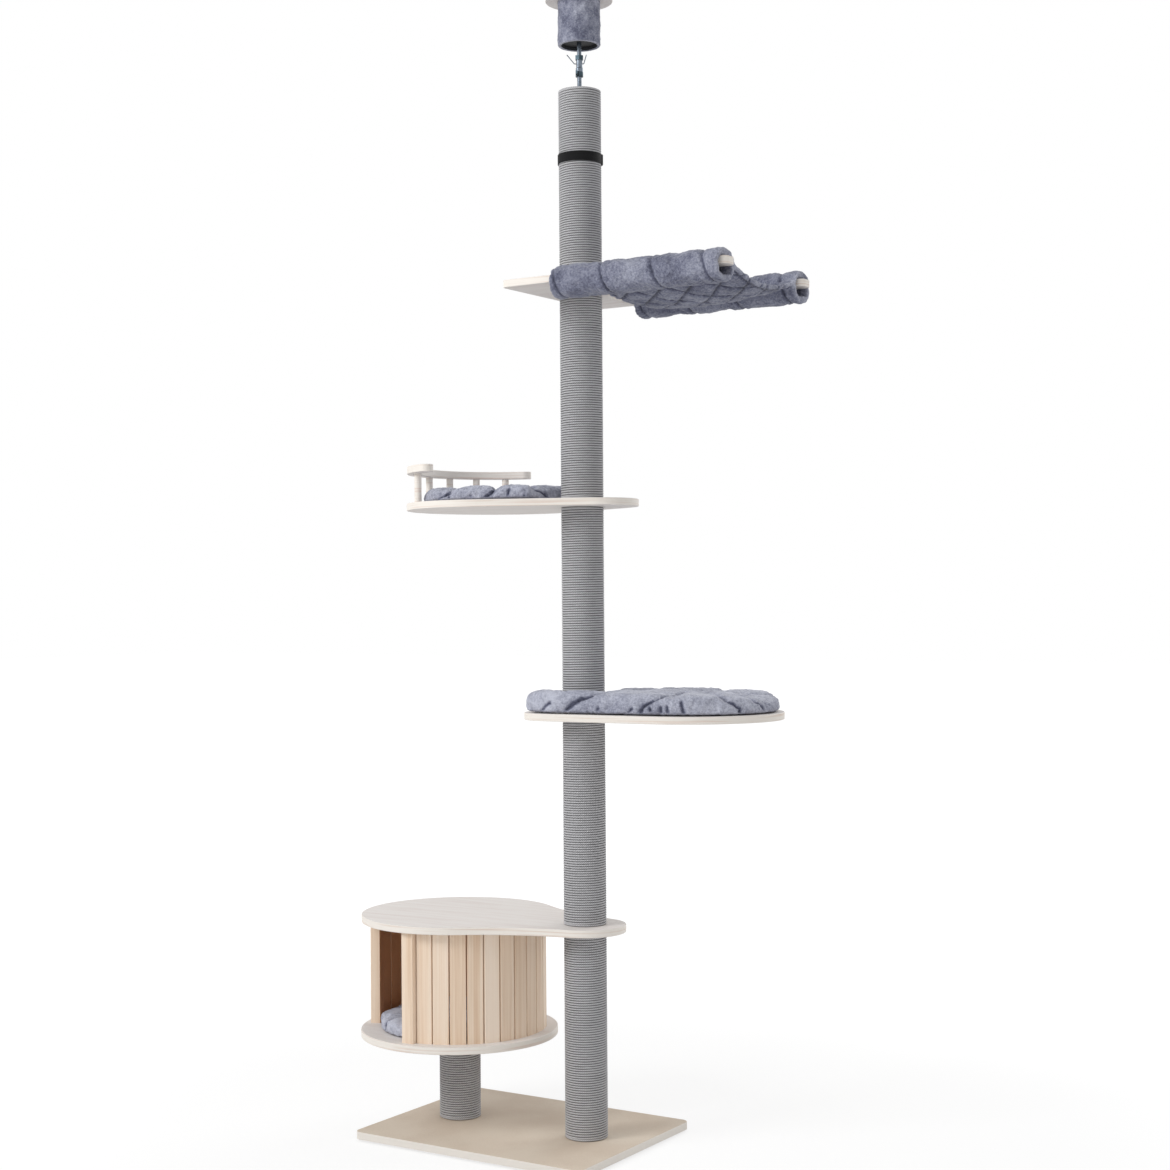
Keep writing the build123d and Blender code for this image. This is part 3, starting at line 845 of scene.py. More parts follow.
@dataclass
class RopeWindings:
    """The rope wound round the five segments of the tall post and round the short post."""

    rope_r: float = 0.0025
    middle_r: float = 0.0425
    sides: int = 8
    segments: int = 5
    end_reach: float = 0.0015
    unevenness: float = 0.0001
    uneven_length: float = 0.05
    seed: int = 11

    def build(self) -> None:
        """Winds every post."""
        for number in range(1, self.segments + 1):
            self.winding(f"rope_winding_{number}", f"rope_wrap_{number}", 0.0)
        low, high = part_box("short_rope_wrap")
        self.winding("short_rope_winding", "short_rope_wrap", (low.x + high.x) / 2)

    def winding(self, name: str, node: str, x: float) -> None:
        """Winds one post.

        Args:
            name: the new piece's name.
            node: the plain sleeve that it replaces.
            x: the place of the post's axis.
        """
        low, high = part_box(node)
        first, last = low.z - self.end_reach + self.rope_r, high.z + self.end_reach - self.rope_r
        turns = round((last - first) / (2 * self.rope_r))
        pitch = (last - first) / turns
        coil = wind(name, self.sides, self.rope_r, self.middle_r, pitch=pitch, turns=turns, start_z=first)
        for level in (first, last):
            self.close_end(coil, level)
        places = points_of(coil)
        uneven = self.unevenness * ripples(places * (1, 1, 3), self.uneven_length, self.seed)
        outward = places * (1, 1, 0) / np.linalg.norm(places[:, :2], axis=1, keepdims=True)
        move_points(coil, places + outward * np.minimum(uneven, 0)[:, None] + np.outer(uneven, (0, 0, 1)))
        coil.location.x = x
        settle(coil)
        dress(coil, RopeFibre(pitch, first, x).material(f"rope_{name}"))
        hand_over(coil, Body.FRAME, [node])

    def close_end(self, coil: bpy.types.Object, level: float) -> None:
        """Lays a level turn over the open end of a winding.

        Args:
            coil: the winding.
            level: the height of the turn's middle.
        """
        bpy.ops.object.select_all(action="DESELECT")
        bpy.ops.mesh.primitive_torus_add(
            major_segments=48, minor_segments=self.sides, major_radius=self.middle_r,
            minor_radius=self.rope_r, location=(0, 0, level),
        )
        coil.select_set(True)
        bpy.context.view_layer.objects.active = coil
        bpy.ops.object.join()
        smooth(coil)


@dataclass
class SoftPiece:
    """A padded piece: starts from its CAD solid, is drawn in along seams and swells as filled cloth."""

    name: str
    node: str
    body: Body
    finish: bpy.types.Material
    fill: float
    voxel: float = 0.0055
    rounding: int = 4
    shrink: float = 0.002
    pressure: float = 4.0
    slack: float = 0.04
    frames: int = 20
    swell_cap: float = 0.005
    hold_width: float = 0.005
    hold_height: float = 0.006
    least_hold: float = 0.01
    puff_depth: float = 0.004
    puff_width: float = 0.014
    crease_depth: float = 0.005
    crease_width: float = 0.0032
    # Painted shade in the creases, weaker on faces that look up.
    crease_shade: float = 0.4
    crease_fade: float = 0.5
    ruffles: Sequence[Spot] = ((0.0005, 0.013), (0.0004, 0.007))
    # Painted light and shade of the pile: a brightness shift for the whole piece, for how brightly it is lit; lighter
    # upward and darker downward faces; and highlights on rolled rims.
    tone: float = 0.0
    painted_top_light: float = 0.03
    painted_rim_highlight: float = 0.11
    seed: int = 3

    def start(self) -> bpy.types.Object:
        """Copies the CAD solid into an even mesh of squares, a little smaller.

        Returns:
            The new object.
        """
        mesh = frame["nodes"][self.node].data.copy()
        mesh.name = self.name
        piece = bpy.data.objects.new(self.name, mesh)
        bpy.context.scene.collection.objects.link(piece)
        lone(piece)
        bpy.ops.object.mode_set(mode="EDIT")
        bpy.ops.mesh.select_all(action="SELECT")
        bpy.ops.mesh.remove_doubles(threshold=1e-5)
        bpy.ops.object.mode_set(mode="OBJECT")
        shape_with(piece, "REMESH", mode="VOXEL", voxel_size=self.voxel)
        shape_with(piece, "SMOOTH", factor=0.5, iterations=self.rounding)
        move_points(piece, points_of(piece) - self.shrink * normals_of(piece))
        return piece

    def seam_shares(self, places: np.ndarray, faces: np.ndarray, width: float) -> np.ndarray:
        """How strongly each point is drawn in by the seams near it.

        Args:
            places: the points.
            faces: the directions in which they face.
            width: how far a seam's pull reaches.

        Returns:
            A share from 0 to 1 for each point.
        """
        raise NotImplementedError

    def rim_shares(self, places: np.ndarray) -> np.ndarray:
        """How far each point lies on a rolled rim, which gets a painted highlight, from 0 to 1."""
        return np.zeros(len(places))

    def build(self) -> None:
        """Makes the piece."""
        piece = self.start()
        places, faces = points_of(piece), normals_of(piece)
        broad = self.seam_shares(places, faces, self.puff_width)
        move_points(piece, places - faces * (self.puff_depth * broad)[:, None])
        held = np.maximum(self.seam_shares(places, faces, self.hold_width), self.held_shares(places))
        self.inflate(piece, held)
        shape_with(piece, "SUBSURF", levels=1, render_levels=1)
        places, faces = points_of(piece), normals_of(piece)
        narrow = self.seam_shares(places, faces, self.crease_width)
        ruffle = roughness(places, self.ruffles, self.seed)
        move_points(piece, places + faces * (ruffle - self.crease_depth * narrow)[:, None])
        # Painted light and shade: the piece's brightness shift, lighter upward and darker downward faces, highlights on
        # rolled rims, and shade in the creases that is weaker on upward faces.
        shades = self.tone + self.painted_top_light * faces[:, 2] + self.painted_rim_highlight * self.rim_shares(places)
        lit = np.clip(faces[:, 2], 0, 1)
        set_shades(piece, shades - self.crease_shade * narrow * (1 - self.crease_fade * lit))
        smooth(piece)
        dress(piece, self.finish)
        hand_over(piece, self.body, [self.node])

    def held_shares(self, places: np.ndarray) -> np.ndarray:
        """How firmly each point is held besides the seams, from 0 to 1."""
        return np.clip(1 - (places[:, 2] - places[:, 2].min()) / self.hold_height, 0, 1)

    def inflate(self, piece: bpy.types.Object, held: np.ndarray) -> None:
        """Blows the piece up as cloth, with some points held.

        Args:
            piece: the mesh, already drawn in.
            held: how firmly each point is held, from 0 to 1.
        """
        group = piece.vertex_groups.new(name="held")
        for number in np.nonzero(held > self.least_hold)[0]:
            group.add([int(number)], float(held[number]), "REPLACE")
        before = points_of(piece)
        cloth = piece.modifiers.new("cloth", "CLOTH")
        cloth.settings.use_pressure = True
        cloth.settings.uniform_pressure_force = self.pressure
        cloth.settings.vertex_group_mass = "held"
        cloth.settings.shrink_min = -self.slack
        cloth.settings.effector_weights.gravity = 0
        cloth.settings.quality = 4
        cloth.point_cache.frame_start = 1
        cloth.point_cache.frame_end = self.frames
        for step in range(1, self.frames + 1):
            bpy.context.scene.frame_set(step)
        solved = piece.evaluated_get(bpy.context.evaluated_depsgraph_get())
        after = points_of(solved)
        piece.modifiers.clear()
        piece.vertex_groups.clear()
        bpy.context.scene.frame_set(1)
        push = after - before
        far = np.linalg.norm(push, axis=1, keepdims=True)
        push *= np.minimum(1, self.swell_cap / np.maximum(far, 1e-9))
        move_points(piece, before + push)


@dataclass
class Cushion(SoftPiece):
    """A cushion with seams that run over its edge and short gathers round its foot."""

    seams: Sequence[Sequence[Sequence[float]]] = ()
    gathers: Sequence[Sequence[Point]] = ()
    lifts: Sequence[tuple[float, float, float, float]] = ()
    narrow: float = 0.01
    seam_foot: float = 0.005
    seam_under: float = 0.8

    def start(self) -> bpy.types.Object:
        """Makes the even mesh, raised or lowered round the lifts' places.

        Each lift gives the x, the y, the reach and the height that its top goes up.

        Returns:
            The new object.
        """
        piece = super().start()
        places = points_of(piece)
        share = (places[:, 2] - places[:, 2].min()) / np.ptp(places[:, 2])
        for x, y, reach, height in self.lifts:
            away = (places[:, 0] - x) ** 2 + (places[:, 1] - y) ** 2
            places[:, 2] += height * share * np.exp(-away / reach**2)
        move_points(piece, places)
        return piece

    def seam_shares(self, places: np.ndarray, faces: np.ndarray, width: float) -> np.ndarray:
        """Draws in the seams at every width and the gathers only when they are narrow.

        Args:
            places: the points.
            faces: the directions in which they face.
            width: how far a seam's pull reaches.

        Returns:
            A share from 0 to 1 for each point.
        """
        off_floor = np.clip((places[:, 2] - places[:, 2].min()) / self.seam_foot, 0, 1)
        off_floor *= np.clip(faces[:, 2] + self.seam_under, 0, 1)
        lines = [*self.seams, *(self.gathers if width < self.narrow else ())]
        away = np.min([nearness(places, faces, line) for line in lines], axis=0)
        return np.exp(-((away / width) ** 2)) * off_floor


@dataclass
class Hammock(SoftPiece):
    """The quilted hammock: two padded sleeves on the arms and a sling between them."""

    arm_y: float = 0.165
    sleeve_half: float = 0.037
    hole_half_w: float = 0.0245
    hole_z: Spot = (1.7585, 1.7935)
    sleeve_seams: Sequence[float] = (0.062, 0.172, 0.288, 0.402)
    sleeve_mid_z: float = 1.777
    lean: float = 0.28
    sleeve_ends: Spot = (0.047, 0.436)
    sling_ends: Spot = (0.130, 0.436)
    hem: float = 0.012
    quilt_pitch: float = 0.074
    sleeve_margin: float = 0.002
    rim_width: float = 0.011

    def in_hole(self, places: np.ndarray) -> np.ndarray:
        """Whether each point lies on the wall of an arm's hole."""
        across = np.abs(np.abs(places[:, 1]) - self.arm_y)
        return (across < self.hole_half_w) & (places[:, 2] > self.hole_z[0]) & (places[:, 2] < self.hole_z[1])

    def on_sleeve(self, places: np.ndarray) -> np.ndarray:
        """Whether each point lies on one of the two sleeves."""
        return np.abs(places[:, 1]) > self.arm_y - self.sleeve_half - self.sleeve_margin

    def seam_shares(self, places: np.ndarray, faces: np.ndarray, width: float) -> np.ndarray:
        """Draws in rings round the sleeves, and crossed lines and hems on the sling.

        Args:
            places: the points.
            faces: the directions in which they face; not used here.
            width: how far a seam's pull reaches.

        Returns:
            A share from 0 to 1 for each point.
        """
        along = places[:, 0] + self.lean * (places[:, 2] - self.sleeve_mid_z)
        rings = np.min([np.abs(along - x) for x in self.sleeve_seams], axis=0)
        crossed = [
            np.abs(((places[:, 0] + sign * places[:, 1]) / self.quilt_pitch + 0.5) % 1 - 0.5)
            * self.quilt_pitch / math.sqrt(2)
            for sign in (-1, 1)
        ]
        back, front = self.sling_ends
        hems = np.minimum(np.abs(places[:, 0] - back - self.hem), np.abs(places[:, 0] - front + self.hem))
        away = np.where(self.on_sleeve(places), rings, np.minimum(np.minimum(*crossed), hems))
        return np.exp(-((away / width) ** 2)) * ~self.in_hole(places)

    def rim_shares(self, places: np.ndarray) -> np.ndarray:
        """Finds the rolled ends of the sleeves and the sling, which get a painted highlight.

        Args:
            places: the points.

        Returns:
            How far each point lies on a rim, from 0 to 1.
        """
        sleeve = np.min([np.abs(places[:, 0] - x) for x in self.sleeve_ends], axis=0)
        sling = np.min([np.abs(places[:, 0] - x) for x in self.sling_ends], axis=0)
        away = np.where(self.on_sleeve(places), sleeve, sling)
        return np.clip(1 - away / self.rim_width, 0, 1) * ~self.in_hole(places)

    def held_shares(self, places: np.ndarray) -> np.ndarray:
        """1 on the walls of the arms' holes, which stay where they are, and 0 elsewhere."""
        return self.in_hole(places).astype(float)


@dataclass
class ColumnCover:
    """The plush cover of the column under the ceiling plate."""

    finish: bpy.types.Material
    corners: int = 112
    rise: float = 0.0036
    hem: float = 0.0024
    hem_steps: int = 5
    lip_r: float = 0.0378
    lip_fold: float = 0.0006
    lip_round: float = 0.0009
    tube_gap: float = 0.0002
    top_hold: float = 0.01
    lumps: Sequence[Spot] = ((0.0006, 0.035), (0.0004, 0.011))
    lump_seed: int = 21
    sink: float = 0.0004
    mottle: float = 0.035
    mottle_length: float = 0.022
    mottle_seed: int = 23
    # Painted light and shade: a highlight on the rolled hem, and shade over the rest of the cover, which lies under the
    # ceiling plate.
    painted_lip_highlight: float = 0.05
    tone: float = -0.05

    def build(self) -> None:
        """Makes the cover, with a rolled lower hem."""
        low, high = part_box("column_plush")
        outer = (high.x - low.x) / 2
        tube_low, tube_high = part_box("column_tube")
        inner = (tube_high.x - tube_low.x) / 2 + self.tube_gap
        count = round((high.z - low.z - 2 * self.hem) / self.rise)
        end_z = tube_low.z - self.tube_gap
        rings = [
            (inner, end_z), (self.lip_r + self.lip_fold, end_z),
            (self.lip_r, low.z + self.lip_round), (self.lip_r + self.lip_round, low.z),
        ]
        rings += [
            (outer - self.hem * (1 - math.cos(a)), low.z + self.hem * (1 - math.sin(a)))
            for a in np.linspace(math.pi / 2, 0, self.hem_steps)
        ]
        rings += [
            (outer, low.z + self.hem + (high.z - low.z - self.hem) * n / count) for n in range(1, count + 1)
        ]
        rings += [(inner, high.z)]
        cover = turned_shell("column_cover", rings, self.corners)
        places = points_of(cover)
        out = places * (1, 1, 0)
        radius = np.linalg.norm(out, axis=1, keepdims=True)
        loose = np.clip((radius[:, 0] - inner) / (outer - inner), 0, 1)
        loose *= np.clip((high.z - places[:, 2]) / self.top_hold, 0, 1)
        lumps = roughness(places, self.lumps, self.lump_seed)
        move_points(cover, places + out / radius * (loose * (lumps - self.sink))[:, None])
        # The cover gets painted shade with mottling over it, and its rolled hem a painted highlight.
        mottled = self.tone + self.mottle * ripples(places, self.mottle_length, self.mottle_seed)
        set_shades(cover, np.where(places[:, 2] < low.z + self.hem / 2, self.painted_lip_highlight, mottled))
        smooth(cover)
        dress(cover, self.finish)
        hand_over(cover, Body.JACK, ["column_plush"])
        math.tau * (inner + outer) / 2


@dataclass
class Strap:
    """The webbing strap round the top segment, with its end lapped over at the back."""

    corners: int = 96
    lap_angle: float = math.radians(48)
    lap_start: float = math.radians(70)
    lap_steps: int = 16
    lap_inset: float = 0.001
    thickness: float = 0.0016
    inner_r: float = 0.0451
    edge: float = 0.0004
    inset: float = 0.0001

    def build(self) -> None:
        """Makes the band and its lap as one piece."""
        low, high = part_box("post_strap")
        outer = (high.x - low.x) / 2 - self.inset
        inner, edge = self.inner_r, self.edge
        rings = [
            (inner, low.z + edge), (inner + edge, low.z), (outer - edge, low.z), (outer, low.z + edge),
            (outer, high.z - edge), (outer - edge, high.z), (inner + edge, high.z), (inner, high.z - edge),
        ]
        band = turned_shell("strap_band", rings, self.corners)
        bpy.ops.object.select_all(action="DESELECT")
        bpy.ops.mesh.primitive_plane_add(size=1, location=(outer + self.thickness / 2, 0, (low.z + high.z) / 2))
        lap = bpy.context.object
        lap.rotation_euler = (math.pi / 2, 0, 0)
        lap.scale = (self.thickness, high.z - low.z - self.lap_inset, 1)
        settle(lap)
        bpy.ops.object.mode_set(mode="EDIT")
        bpy.ops.mesh.select_all(action="SELECT")
        bpy.ops.transform.rotate(value=-self.lap_start, orient_axis="Z", center_override=(0, 0, 0))
        bpy.ops.mesh.spin(steps=self.lap_steps, angle=self.lap_angle, center=(0, 0, 0), axis=(0, 0, 1))
        bpy.ops.mesh.select_all(action="SELECT")
        bpy.ops.mesh.normals_make_consistent(inside=False)
        bpy.ops.object.mode_set(mode="OBJECT")
        lone(band)
        lap.select_set(True)
        bpy.ops.object.join()
        smooth(band, 40)
        dress(band, Webbing().material())
        hand_over(band, Body.FRAME, ["post_strap"])


@dataclass
class ThreadedRod:
    """The jack's rod with its thread."""

    pitch: float = 0.0015
    depth: float = 0.0009
    thread_sides: int = 3
    thread_share: float = 0.78
    thread_steps: int = 32
    core_sides: int = 40
    core_over: float = 0.0001
    chamfer: float = 0.0006

    def build(self, finish: bpy.types.Material) -> None:
        """Makes the rod.

        Args:
            finish: its plated steel.
        """
        low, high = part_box("threaded_rod")
        outer = (high.x - low.x) / 2
        core = outer - self.depth
        bpy.ops.object.select_all(action="DESELECT")
        bpy.ops.mesh.primitive_cylinder_add(
            vertices=self.core_sides, radius=core + self.core_over, depth=high.z - low.z,
            location=(0, 0, (low.z + high.z) / 2),
        )
        rod = bpy.context.object
        rod.name = rod.data.name = "rod_with_thread"
        settle(rod)
        shape_with(rod, "BEVEL", width=self.chamfer, segments=2, limit_method="ANGLE")
        turns = int((high.z - low.z) / self.pitch) - 1
        size = self.depth * self.thread_share
        thread = wind(
            "rod_thread", self.thread_sides, size, outer - size,
            pitch=self.pitch, turns=turns, start_z=low.z + self.pitch, steps=self.thread_steps,
        )
        lone(rod)
        thread.select_set(True)
        bpy.ops.object.join()
        smooth(rod, 35)
        dress(rod, finish)
        hand_over(rod, Body.JACK, ["threaded_rod"])


@dataclass
class HardPieces:
    """The finishes of the CAD nodes that show as they are."""

    def build(self, zinc: bpy.types.Material) -> None:
        """Dresses every rigid node.

        Args:
            zinc: the finish of the plated steel pieces.
        """
        finishes = {
            Slot.WHITE_BOARD: WashedBoard(),
            Slot.PINE: Pine(),
            # Card in a darker grey-brown than bare card: partly its own colour, partly painted shade for the narrow
            # gaps where it shows at the rope ends.
            Slot.CARDBOARD: Plain(
                "cardboard", paint(98, 88, 78), paint(84, 74, 66),
                roughness=0.85, tooth_scale=600.0, stretch=(1, 1, 0.3), shine=0.2,
            ),
            Slot.PLUG_WOOD: Plain(
                "plug_wood", paint(214, 184, 146), paint(190, 156, 116), tooth_scale=500.0, stretch=(1, 1, 0.15)
            ),
            Slot.DARK_PLASTIC: Plain(
                "dark_plastic", paint(20, 21, 24), paint(13, 14, 16), roughness=0.6, tooth_scale=900.0, shine=0.25
            ),
            Slot.FOOT_RUBBER: Plain("foot_rubber", paint(112, 92, 80), paint(88, 71, 61), roughness=0.85),
            Slot.PAD_RUBBER: Plain("pad_rubber", paint(70, 70, 73), paint(54, 54, 57), roughness=0.85),
            Slot.DARK_STEEL: Metal("dark_steel", paint(70, 84, 92), roughness=0.35),
            Slot.BASE_BOARD: BaseBoard(),
        }
        by_slot = {slot: finish.material() for slot, finish in finishes.items()} | {Slot.ZINC: zinc}
        slots = {part["node"]: part["material_slot"] for part in frame["record"]["subparts"]}
        for name, node in frame["nodes"].items():
            slot = Slot(slots[name])
            if slot in by_slot and not node.hide_render:
                dress(node, by_slot[slot])
        # The tube inside the column cover is painted dark grey, as painted shade for the inside of the column.
        dress(frame["nodes"]["column_tube"], Plain("column_tube", paint(52, 54, 60), paint(40, 42, 47)).material())
        log.info("dressed %d CAD nodes", len(frame["nodes"]))


@dataclass(frozen=True)
class ViewPoint:
    """Where the picture is taken from."""

    place: Point = (2.19826, -3.45027, 1.1346)
    yaw: float = 0.5662
    pitch: float = 0.0085
    roll: float = -0.0069
    focal_px: float = 1951.0
    picture_px: int = 1170
    sensor: float = 36.0
    farthest: float = 60.0

    def build(self) -> None:
        """Adds the camera and makes it the scene's."""
        flat = math.cos(self.pitch)
        ahead = np.array([-math.sin(self.yaw) * flat, math.cos(self.yaw) * flat, math.sin(self.pitch)])
        level = np.array([math.cos(self.yaw), math.sin(self.yaw), 0.0])
        upright = np.cross(level, ahead)
        right = math.cos(self.roll) * level + math.sin(self.roll) * upright
        up = -math.sin(self.roll) * level + math.cos(self.roll) * upright
        lens = bpy.data.cameras.new("camera")
        lens.sensor_width = self.sensor
        lens.lens = self.focal_px * self.sensor / self.picture_px
        lens.clip_end = self.farthest
        camera = bpy.data.objects.new("camera", lens)
        bpy.context.scene.collection.objects.link(camera)
        turn = Matrix([list(row) for row in np.stack([right, up, -ahead], axis=1)]).to_4x4()
        camera.matrix_world = Matrix.Translation(self.place) @ turn
        bpy.context.scene.camera = camera


@dataclass
class Studio:
    """A pale floor, white surroundings and soft lamps."""

    floor_z: float = -0.005
    floor_size: float = 60.0
    ambient: float = 0.55
    floor_glow: float = 1.1
    glow_share: float = 0.7
    glow_run: Spot = (0.9, 2.2)
    floor_colour: Colour = paint(236, 236, 236)
    white: Colour = paint(255, 255, 255)
    aim: Point = (0.0, 0.0, 1.15)
    lamps: dict[str, tuple[Point, float, float]] = field(
        default_factory=lambda: {
            "key": ((-1.7, -2.9, 2.9), 69.0, 1.6),
            "fill": ((3.2, -1.6, 1.4), 7.0, 2.0),
            "back": ((0.6, 3.2, 2.6), 34.0, 2.2),
        }
    )

    def build(self) -> None:
        """Adds the floor, the surroundings and the lamps."""
        bpy.context.scene.view_settings.view_transform = "Standard"
        self.surroundings()
        bpy.ops.object.select_all(action="DESELECT")
        bpy.ops.mesh.primitive_plane_add(size=self.floor_size, location=(0, 0, self.floor_z))
        floor = bpy.context.object
        floor.name = "floor"
        settle(floor)
        dress(floor, self.floor_finish())
        for name, (place, power, size) in self.lamps.items():
            self.lamp(name, place, power, size)

    def seen(self, sh: Shader) -> Wire:
        """Tells which rays see the studio as it should look.

        Args:
            sh: the nodes that ask.

        Returns:
            1 for rays from the camera, a reflection or clear glass, otherwise 0.
        """
        path = sh.node("ShaderNodeLightPath", output="Is Camera Ray")
        made = path.socket.node
        glossy = Wire(sh, made.outputs["Is Glossy Ray"])
        clear = Wire(sh, made.outputs["Is Transmission Ray"])
        return (path + glossy + clear) > 0.5

    def floor_finish(self) -> bpy.types.Material:
        """Builds a white floor that still takes the object's shadow.

        Returns:
            The material.
        """
        sh = Shader(bpy.data.materials.new("studio_floor"))
        x, y, _ = sh.axes(sh.place())
        far = sh.between(x.reach(y), *self.glow_run)
        matte = sh.node("ShaderNodeBsdfDiffuse", {"Color": self.floor_colour})
        glow = sh.node("ShaderNodeEmission", {"Color": self.white, "Strength": self.floor_glow})
        share = self.seen(sh) * (far * (1 - self.glow_share) + self.glow_share)
        sh.close(sh.node("ShaderNodeMixShader", {0: share, 1: matte, 2: glow}))
        return sh.owner

    def surroundings(self) -> None:
        """Adds surroundings that are white where they are seen and dimmer as a light."""
        world = bpy.data.worlds.new("surroundings")
        bpy.context.scene.world = world
        sh = Shader(world)
        strength = self.seen(sh) * (1.0 - self.ambient) + self.ambient
        back = sh.node("ShaderNodeBackground", {"Color": self.white, "Strength": strength})
        sh.close(back, "ShaderNodeOutputWorld")

    def lamp(self, name: str, place: Point, power: float, size: float) -> None:
        """Adds one square lamp that faces the middle of the post.

        Args:
            name: the lamp's name.
            place: where it stands.
            power: its strength in watts.
            size: the length of its side.
        """
        data = bpy.data.lights.new(name, "AREA")
        data.energy, data.size = power, size
        lamp = bpy.data.objects.new(name, data)
        bpy.context.scene.collection.objects.link(lamp)
        towards = Vector(self.aim) - Vector(place)
        lamp.matrix_world = Matrix.Translation(place) @ towards.to_track_quat("-Z", "Y").to_matrix().to_4x4()


def spokes(centre: Spot, tufts_r: float, paths: Sequence[Point]) -> list[list[Spot]]:
    """Seams that run from a cushion's middle past a tuft and on to its edge.

    Args:
        centre: the middle tuft.
        tufts_r: how far the ring of tufts is from it.
        paths: for each seam the tuft's angle, the edge's angle, in degrees, and the edge's distance.

    Returns:
        The seams' corners.
    """
    def at(angle: float, reach: float) -> Spot:
        """A point round the centre."""
        turn = math.radians(angle)
        return (centre[0] + reach * math.cos(turn), centre[1] + reach * math.sin(turn))

    return [[centre, at(tuft, tufts_r), at(edge, reach)] for tuft, edge, reach in paths]


def lower_pad(plush: bpy.types.Material) -> Cushion:
    """The lower shelf's cushion, with its seams and gathers where the picture shows them.

    Args:
        plush: its cover's finish.

    Returns:
        The cushion, not yet built.
    """
    centre = (0.2014, 0.1026)
    return Cushion(
        # The brightness shift paints this cushion lighter, as painted light.
        "lower_pad_cover", "lower_cushion", Body.LOWER_PAD, plush, 0.7, rounding=8, tone=0.07,
        seams=[
            [(0.0164, -0.0974, 0.912), (0.0328, -0.0961, 0.9253), (0.0502, -0.0928, 0.9358),
             (0.0712, -0.0840, 0.9430), (0.1050, -0.0300, 0.9440)],
            [(0.1851, -0.0842, 0.908), (0.1897, -0.0839, 0.9222), (0.2090, -0.0809, 0.9345),
             (0.2237, -0.0663, 0.9422), (0.2300, -0.0250, 0.9440), (*centre, 0.9440)],
            [(0.3640, 0.0145, 0.908), (0.3651, 0.0167, 0.9173), (0.3567, 0.0030, 0.9298),
             (0.3434, -0.0059, 0.9379), (0.3100, 0.0200, 0.9430), (0.2600, 0.0600, 0.9440)],
            [(0.3852, 0.0824, 0.9165), (0.3834, 0.0728, 0.9291), (0.3768, 0.0595, 0.9356), (0.3200, 0.0900, 0.9430)],
            *spokes(centre, 0.105, [(87, 80, 0.2), (147, 150, 0.2), (30, 38, 0.2)]),
        ],
        gathers=[
            [(-0.0403, -0.1010, 0.907), (-0.0303, -0.1010, 0.9200), (-0.0209, -0.1003, 0.9264)],
            [(0.1579, -0.0858, 0.906), (0.1673, -0.0856, 0.9178)],
            [(0.2118, -0.0820, 0.906), (0.2053, -0.0827, 0.9205)],
            [(0.2313, -0.0798, 0.906), (0.2315, -0.0799, 0.9210)],
            [(0.2478, -0.0763, 0.906), (0.2439, -0.0774, 0.9232)],
            [(0.2783, -0.0655, 0.906), (0.2748, -0.0672, 0.9234), (0.2724, -0.0669, 0.9333)],
            [(0.0879, -0.0918, 0.906), (0.0903, -0.0916, 0.9162)],
            [(0.2982, 0.2603, 0.906), (0.2960, 0.2600, 0.9230)],
            [(0.1000, 0.2600, 0.906), (0.1040, 0.2600, 0.9200)],
        ],
        lifts=[
            (0.030, -0.080, 0.065, 0.008), (-0.060, -0.075, 0.060, 0.009), (-0.115, -0.080, 0.025, -0.012),
            (0.2000, 0.1000, 0.3, 0.003), (0.390, 0.130, 0.075, -0.013),
        ],
    )


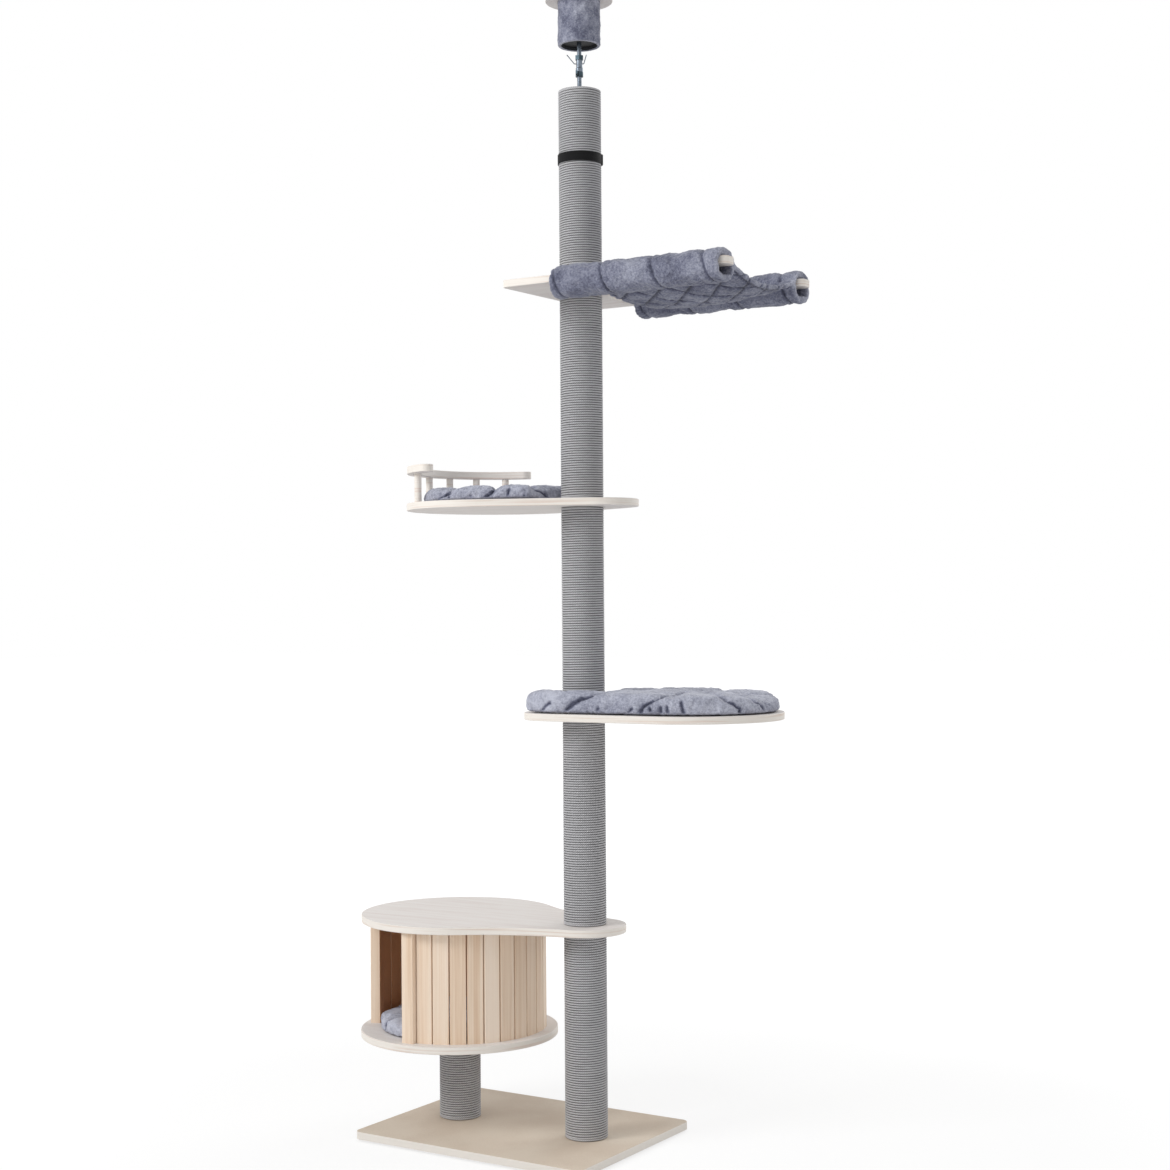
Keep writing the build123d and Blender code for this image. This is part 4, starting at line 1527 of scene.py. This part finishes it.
def upper_pad(plush: bpy.types.Material) -> Cushion:
    """The upper shelf's cushion, with its seams and gathers where the picture shows them.

    Args:
        plush: its cover's finish.

    Returns:
        The cushion, not yet built.
    """
    centre = (-0.2259, 0.0079)
    return Cushion(
        # The brightness shift paints this cushion lighter, as painted light.
        "upper_pad_cover", "upper_cushion", Body.UPPER_PAD, plush, 0.7, rounding=6, tone=0.02, seed=7,
        seams=[
            [(-0.2690, -0.1443, 1.350), (-0.2617, -0.1470, 1.3591), (-0.2409, -0.1504, 1.3645),
             (-0.2350, -0.1000, 1.3800), (*centre, 1.3820)],
            [(-0.1614, -0.1285, 1.350), (-0.1417, -0.1345, 1.3617), (-0.1342, -0.1306, 1.3740),
             (-0.1700, -0.0600, 1.3810), (*centre, 1.3820)],
            [(-0.0591, -0.0259, 1.350), (-0.0598, -0.0512, 1.3644), (-0.0623, -0.0775, 1.3738),
             (-0.1300, -0.0300, 1.3810)],
            *spokes(centre, 0.09, [(58, 62, 0.28), (118, 110, 0.17), (178, 176, 0.17), (212, 216, 0.17)]),
        ],
        gathers=[
            [(-0.2395, -0.1488, 1.350), (-0.2409, -0.1504, 1.3582)],
            [(-0.1055, -0.1213, 1.350), (-0.1054, -0.1250, 1.3587), (-0.1032, -0.1243, 1.3690)],
            [(-0.1875, -0.1422, 1.350), (-0.1848, -0.1457, 1.3564)],
            [(-0.0732, -0.1061, 1.350), (-0.0698, -0.1148, 1.3537)],
            [(-0.3500, 0.1100, 1.350), (-0.3480, 0.1080, 1.3600)],
            [(-0.2300, 0.1680, 1.350), (-0.2340, 0.1680, 1.3600)],
        ],
        lifts=[(*centre, 0.5, -0.004)],
    )


def house_pad(plush: bpy.types.Material) -> Cushion:
    """The house's round cushion, with seams that run out from its middle.

    Args:
        plush: its cover's finish.

    Returns:
        The cushion, not yet built.
    """
    centre = (-0.326, 0.0)
    return Cushion(
        # The brightness shift paints this cushion lighter, as painted light.
        "house_pad_cover", "house_cushion", Body.FRAME, plush, 0.75, tone=0.1, seed=13,
        seams=spokes(centre, 0.105, [(angle, angle + 6, 0.185) for angle in range(-10, 350, 40)]),
        lifts=[(*centre, 0.5, -0.007)],
    )


def main() -> None:
    """Builds everything in order."""
    logging.basicConfig(level=logging.INFO, format="%(name)s: %(message)s")
    plush = Plush().material()
    zinc = Metal("zinc_steel", paint(122, 131, 142), roughness=0.34).material()
    ViewPoint().build()
    Studio().build()
    RopeWindings().build()
    ColumnCover(plush).build()
    Strap().build()
    ThreadedRod().build(zinc)
    for pad in (lower_pad(plush), upper_pad(plush), house_pad(plush)):
        pad.build()
    Hammock(
        "hammock_cover", "hammock", Body.CLOTH, plush, 0.4, voxel=0.005, swell_cap=0.0022,
        puff_depth=0.0012, puff_width=0.009, crease_depth=0.0024, crease_width=0.0028, crease_shade=0.2,
        # The brightness shift paints the hammock darker, as painted shade, and its upward faces a little lighter, as
        # painted light.
        tone=-0.06, painted_top_light=0.02, seed=17,
    ).build()
    HardPieces().build(zinc)


if __name__ == "__main__":
    main()
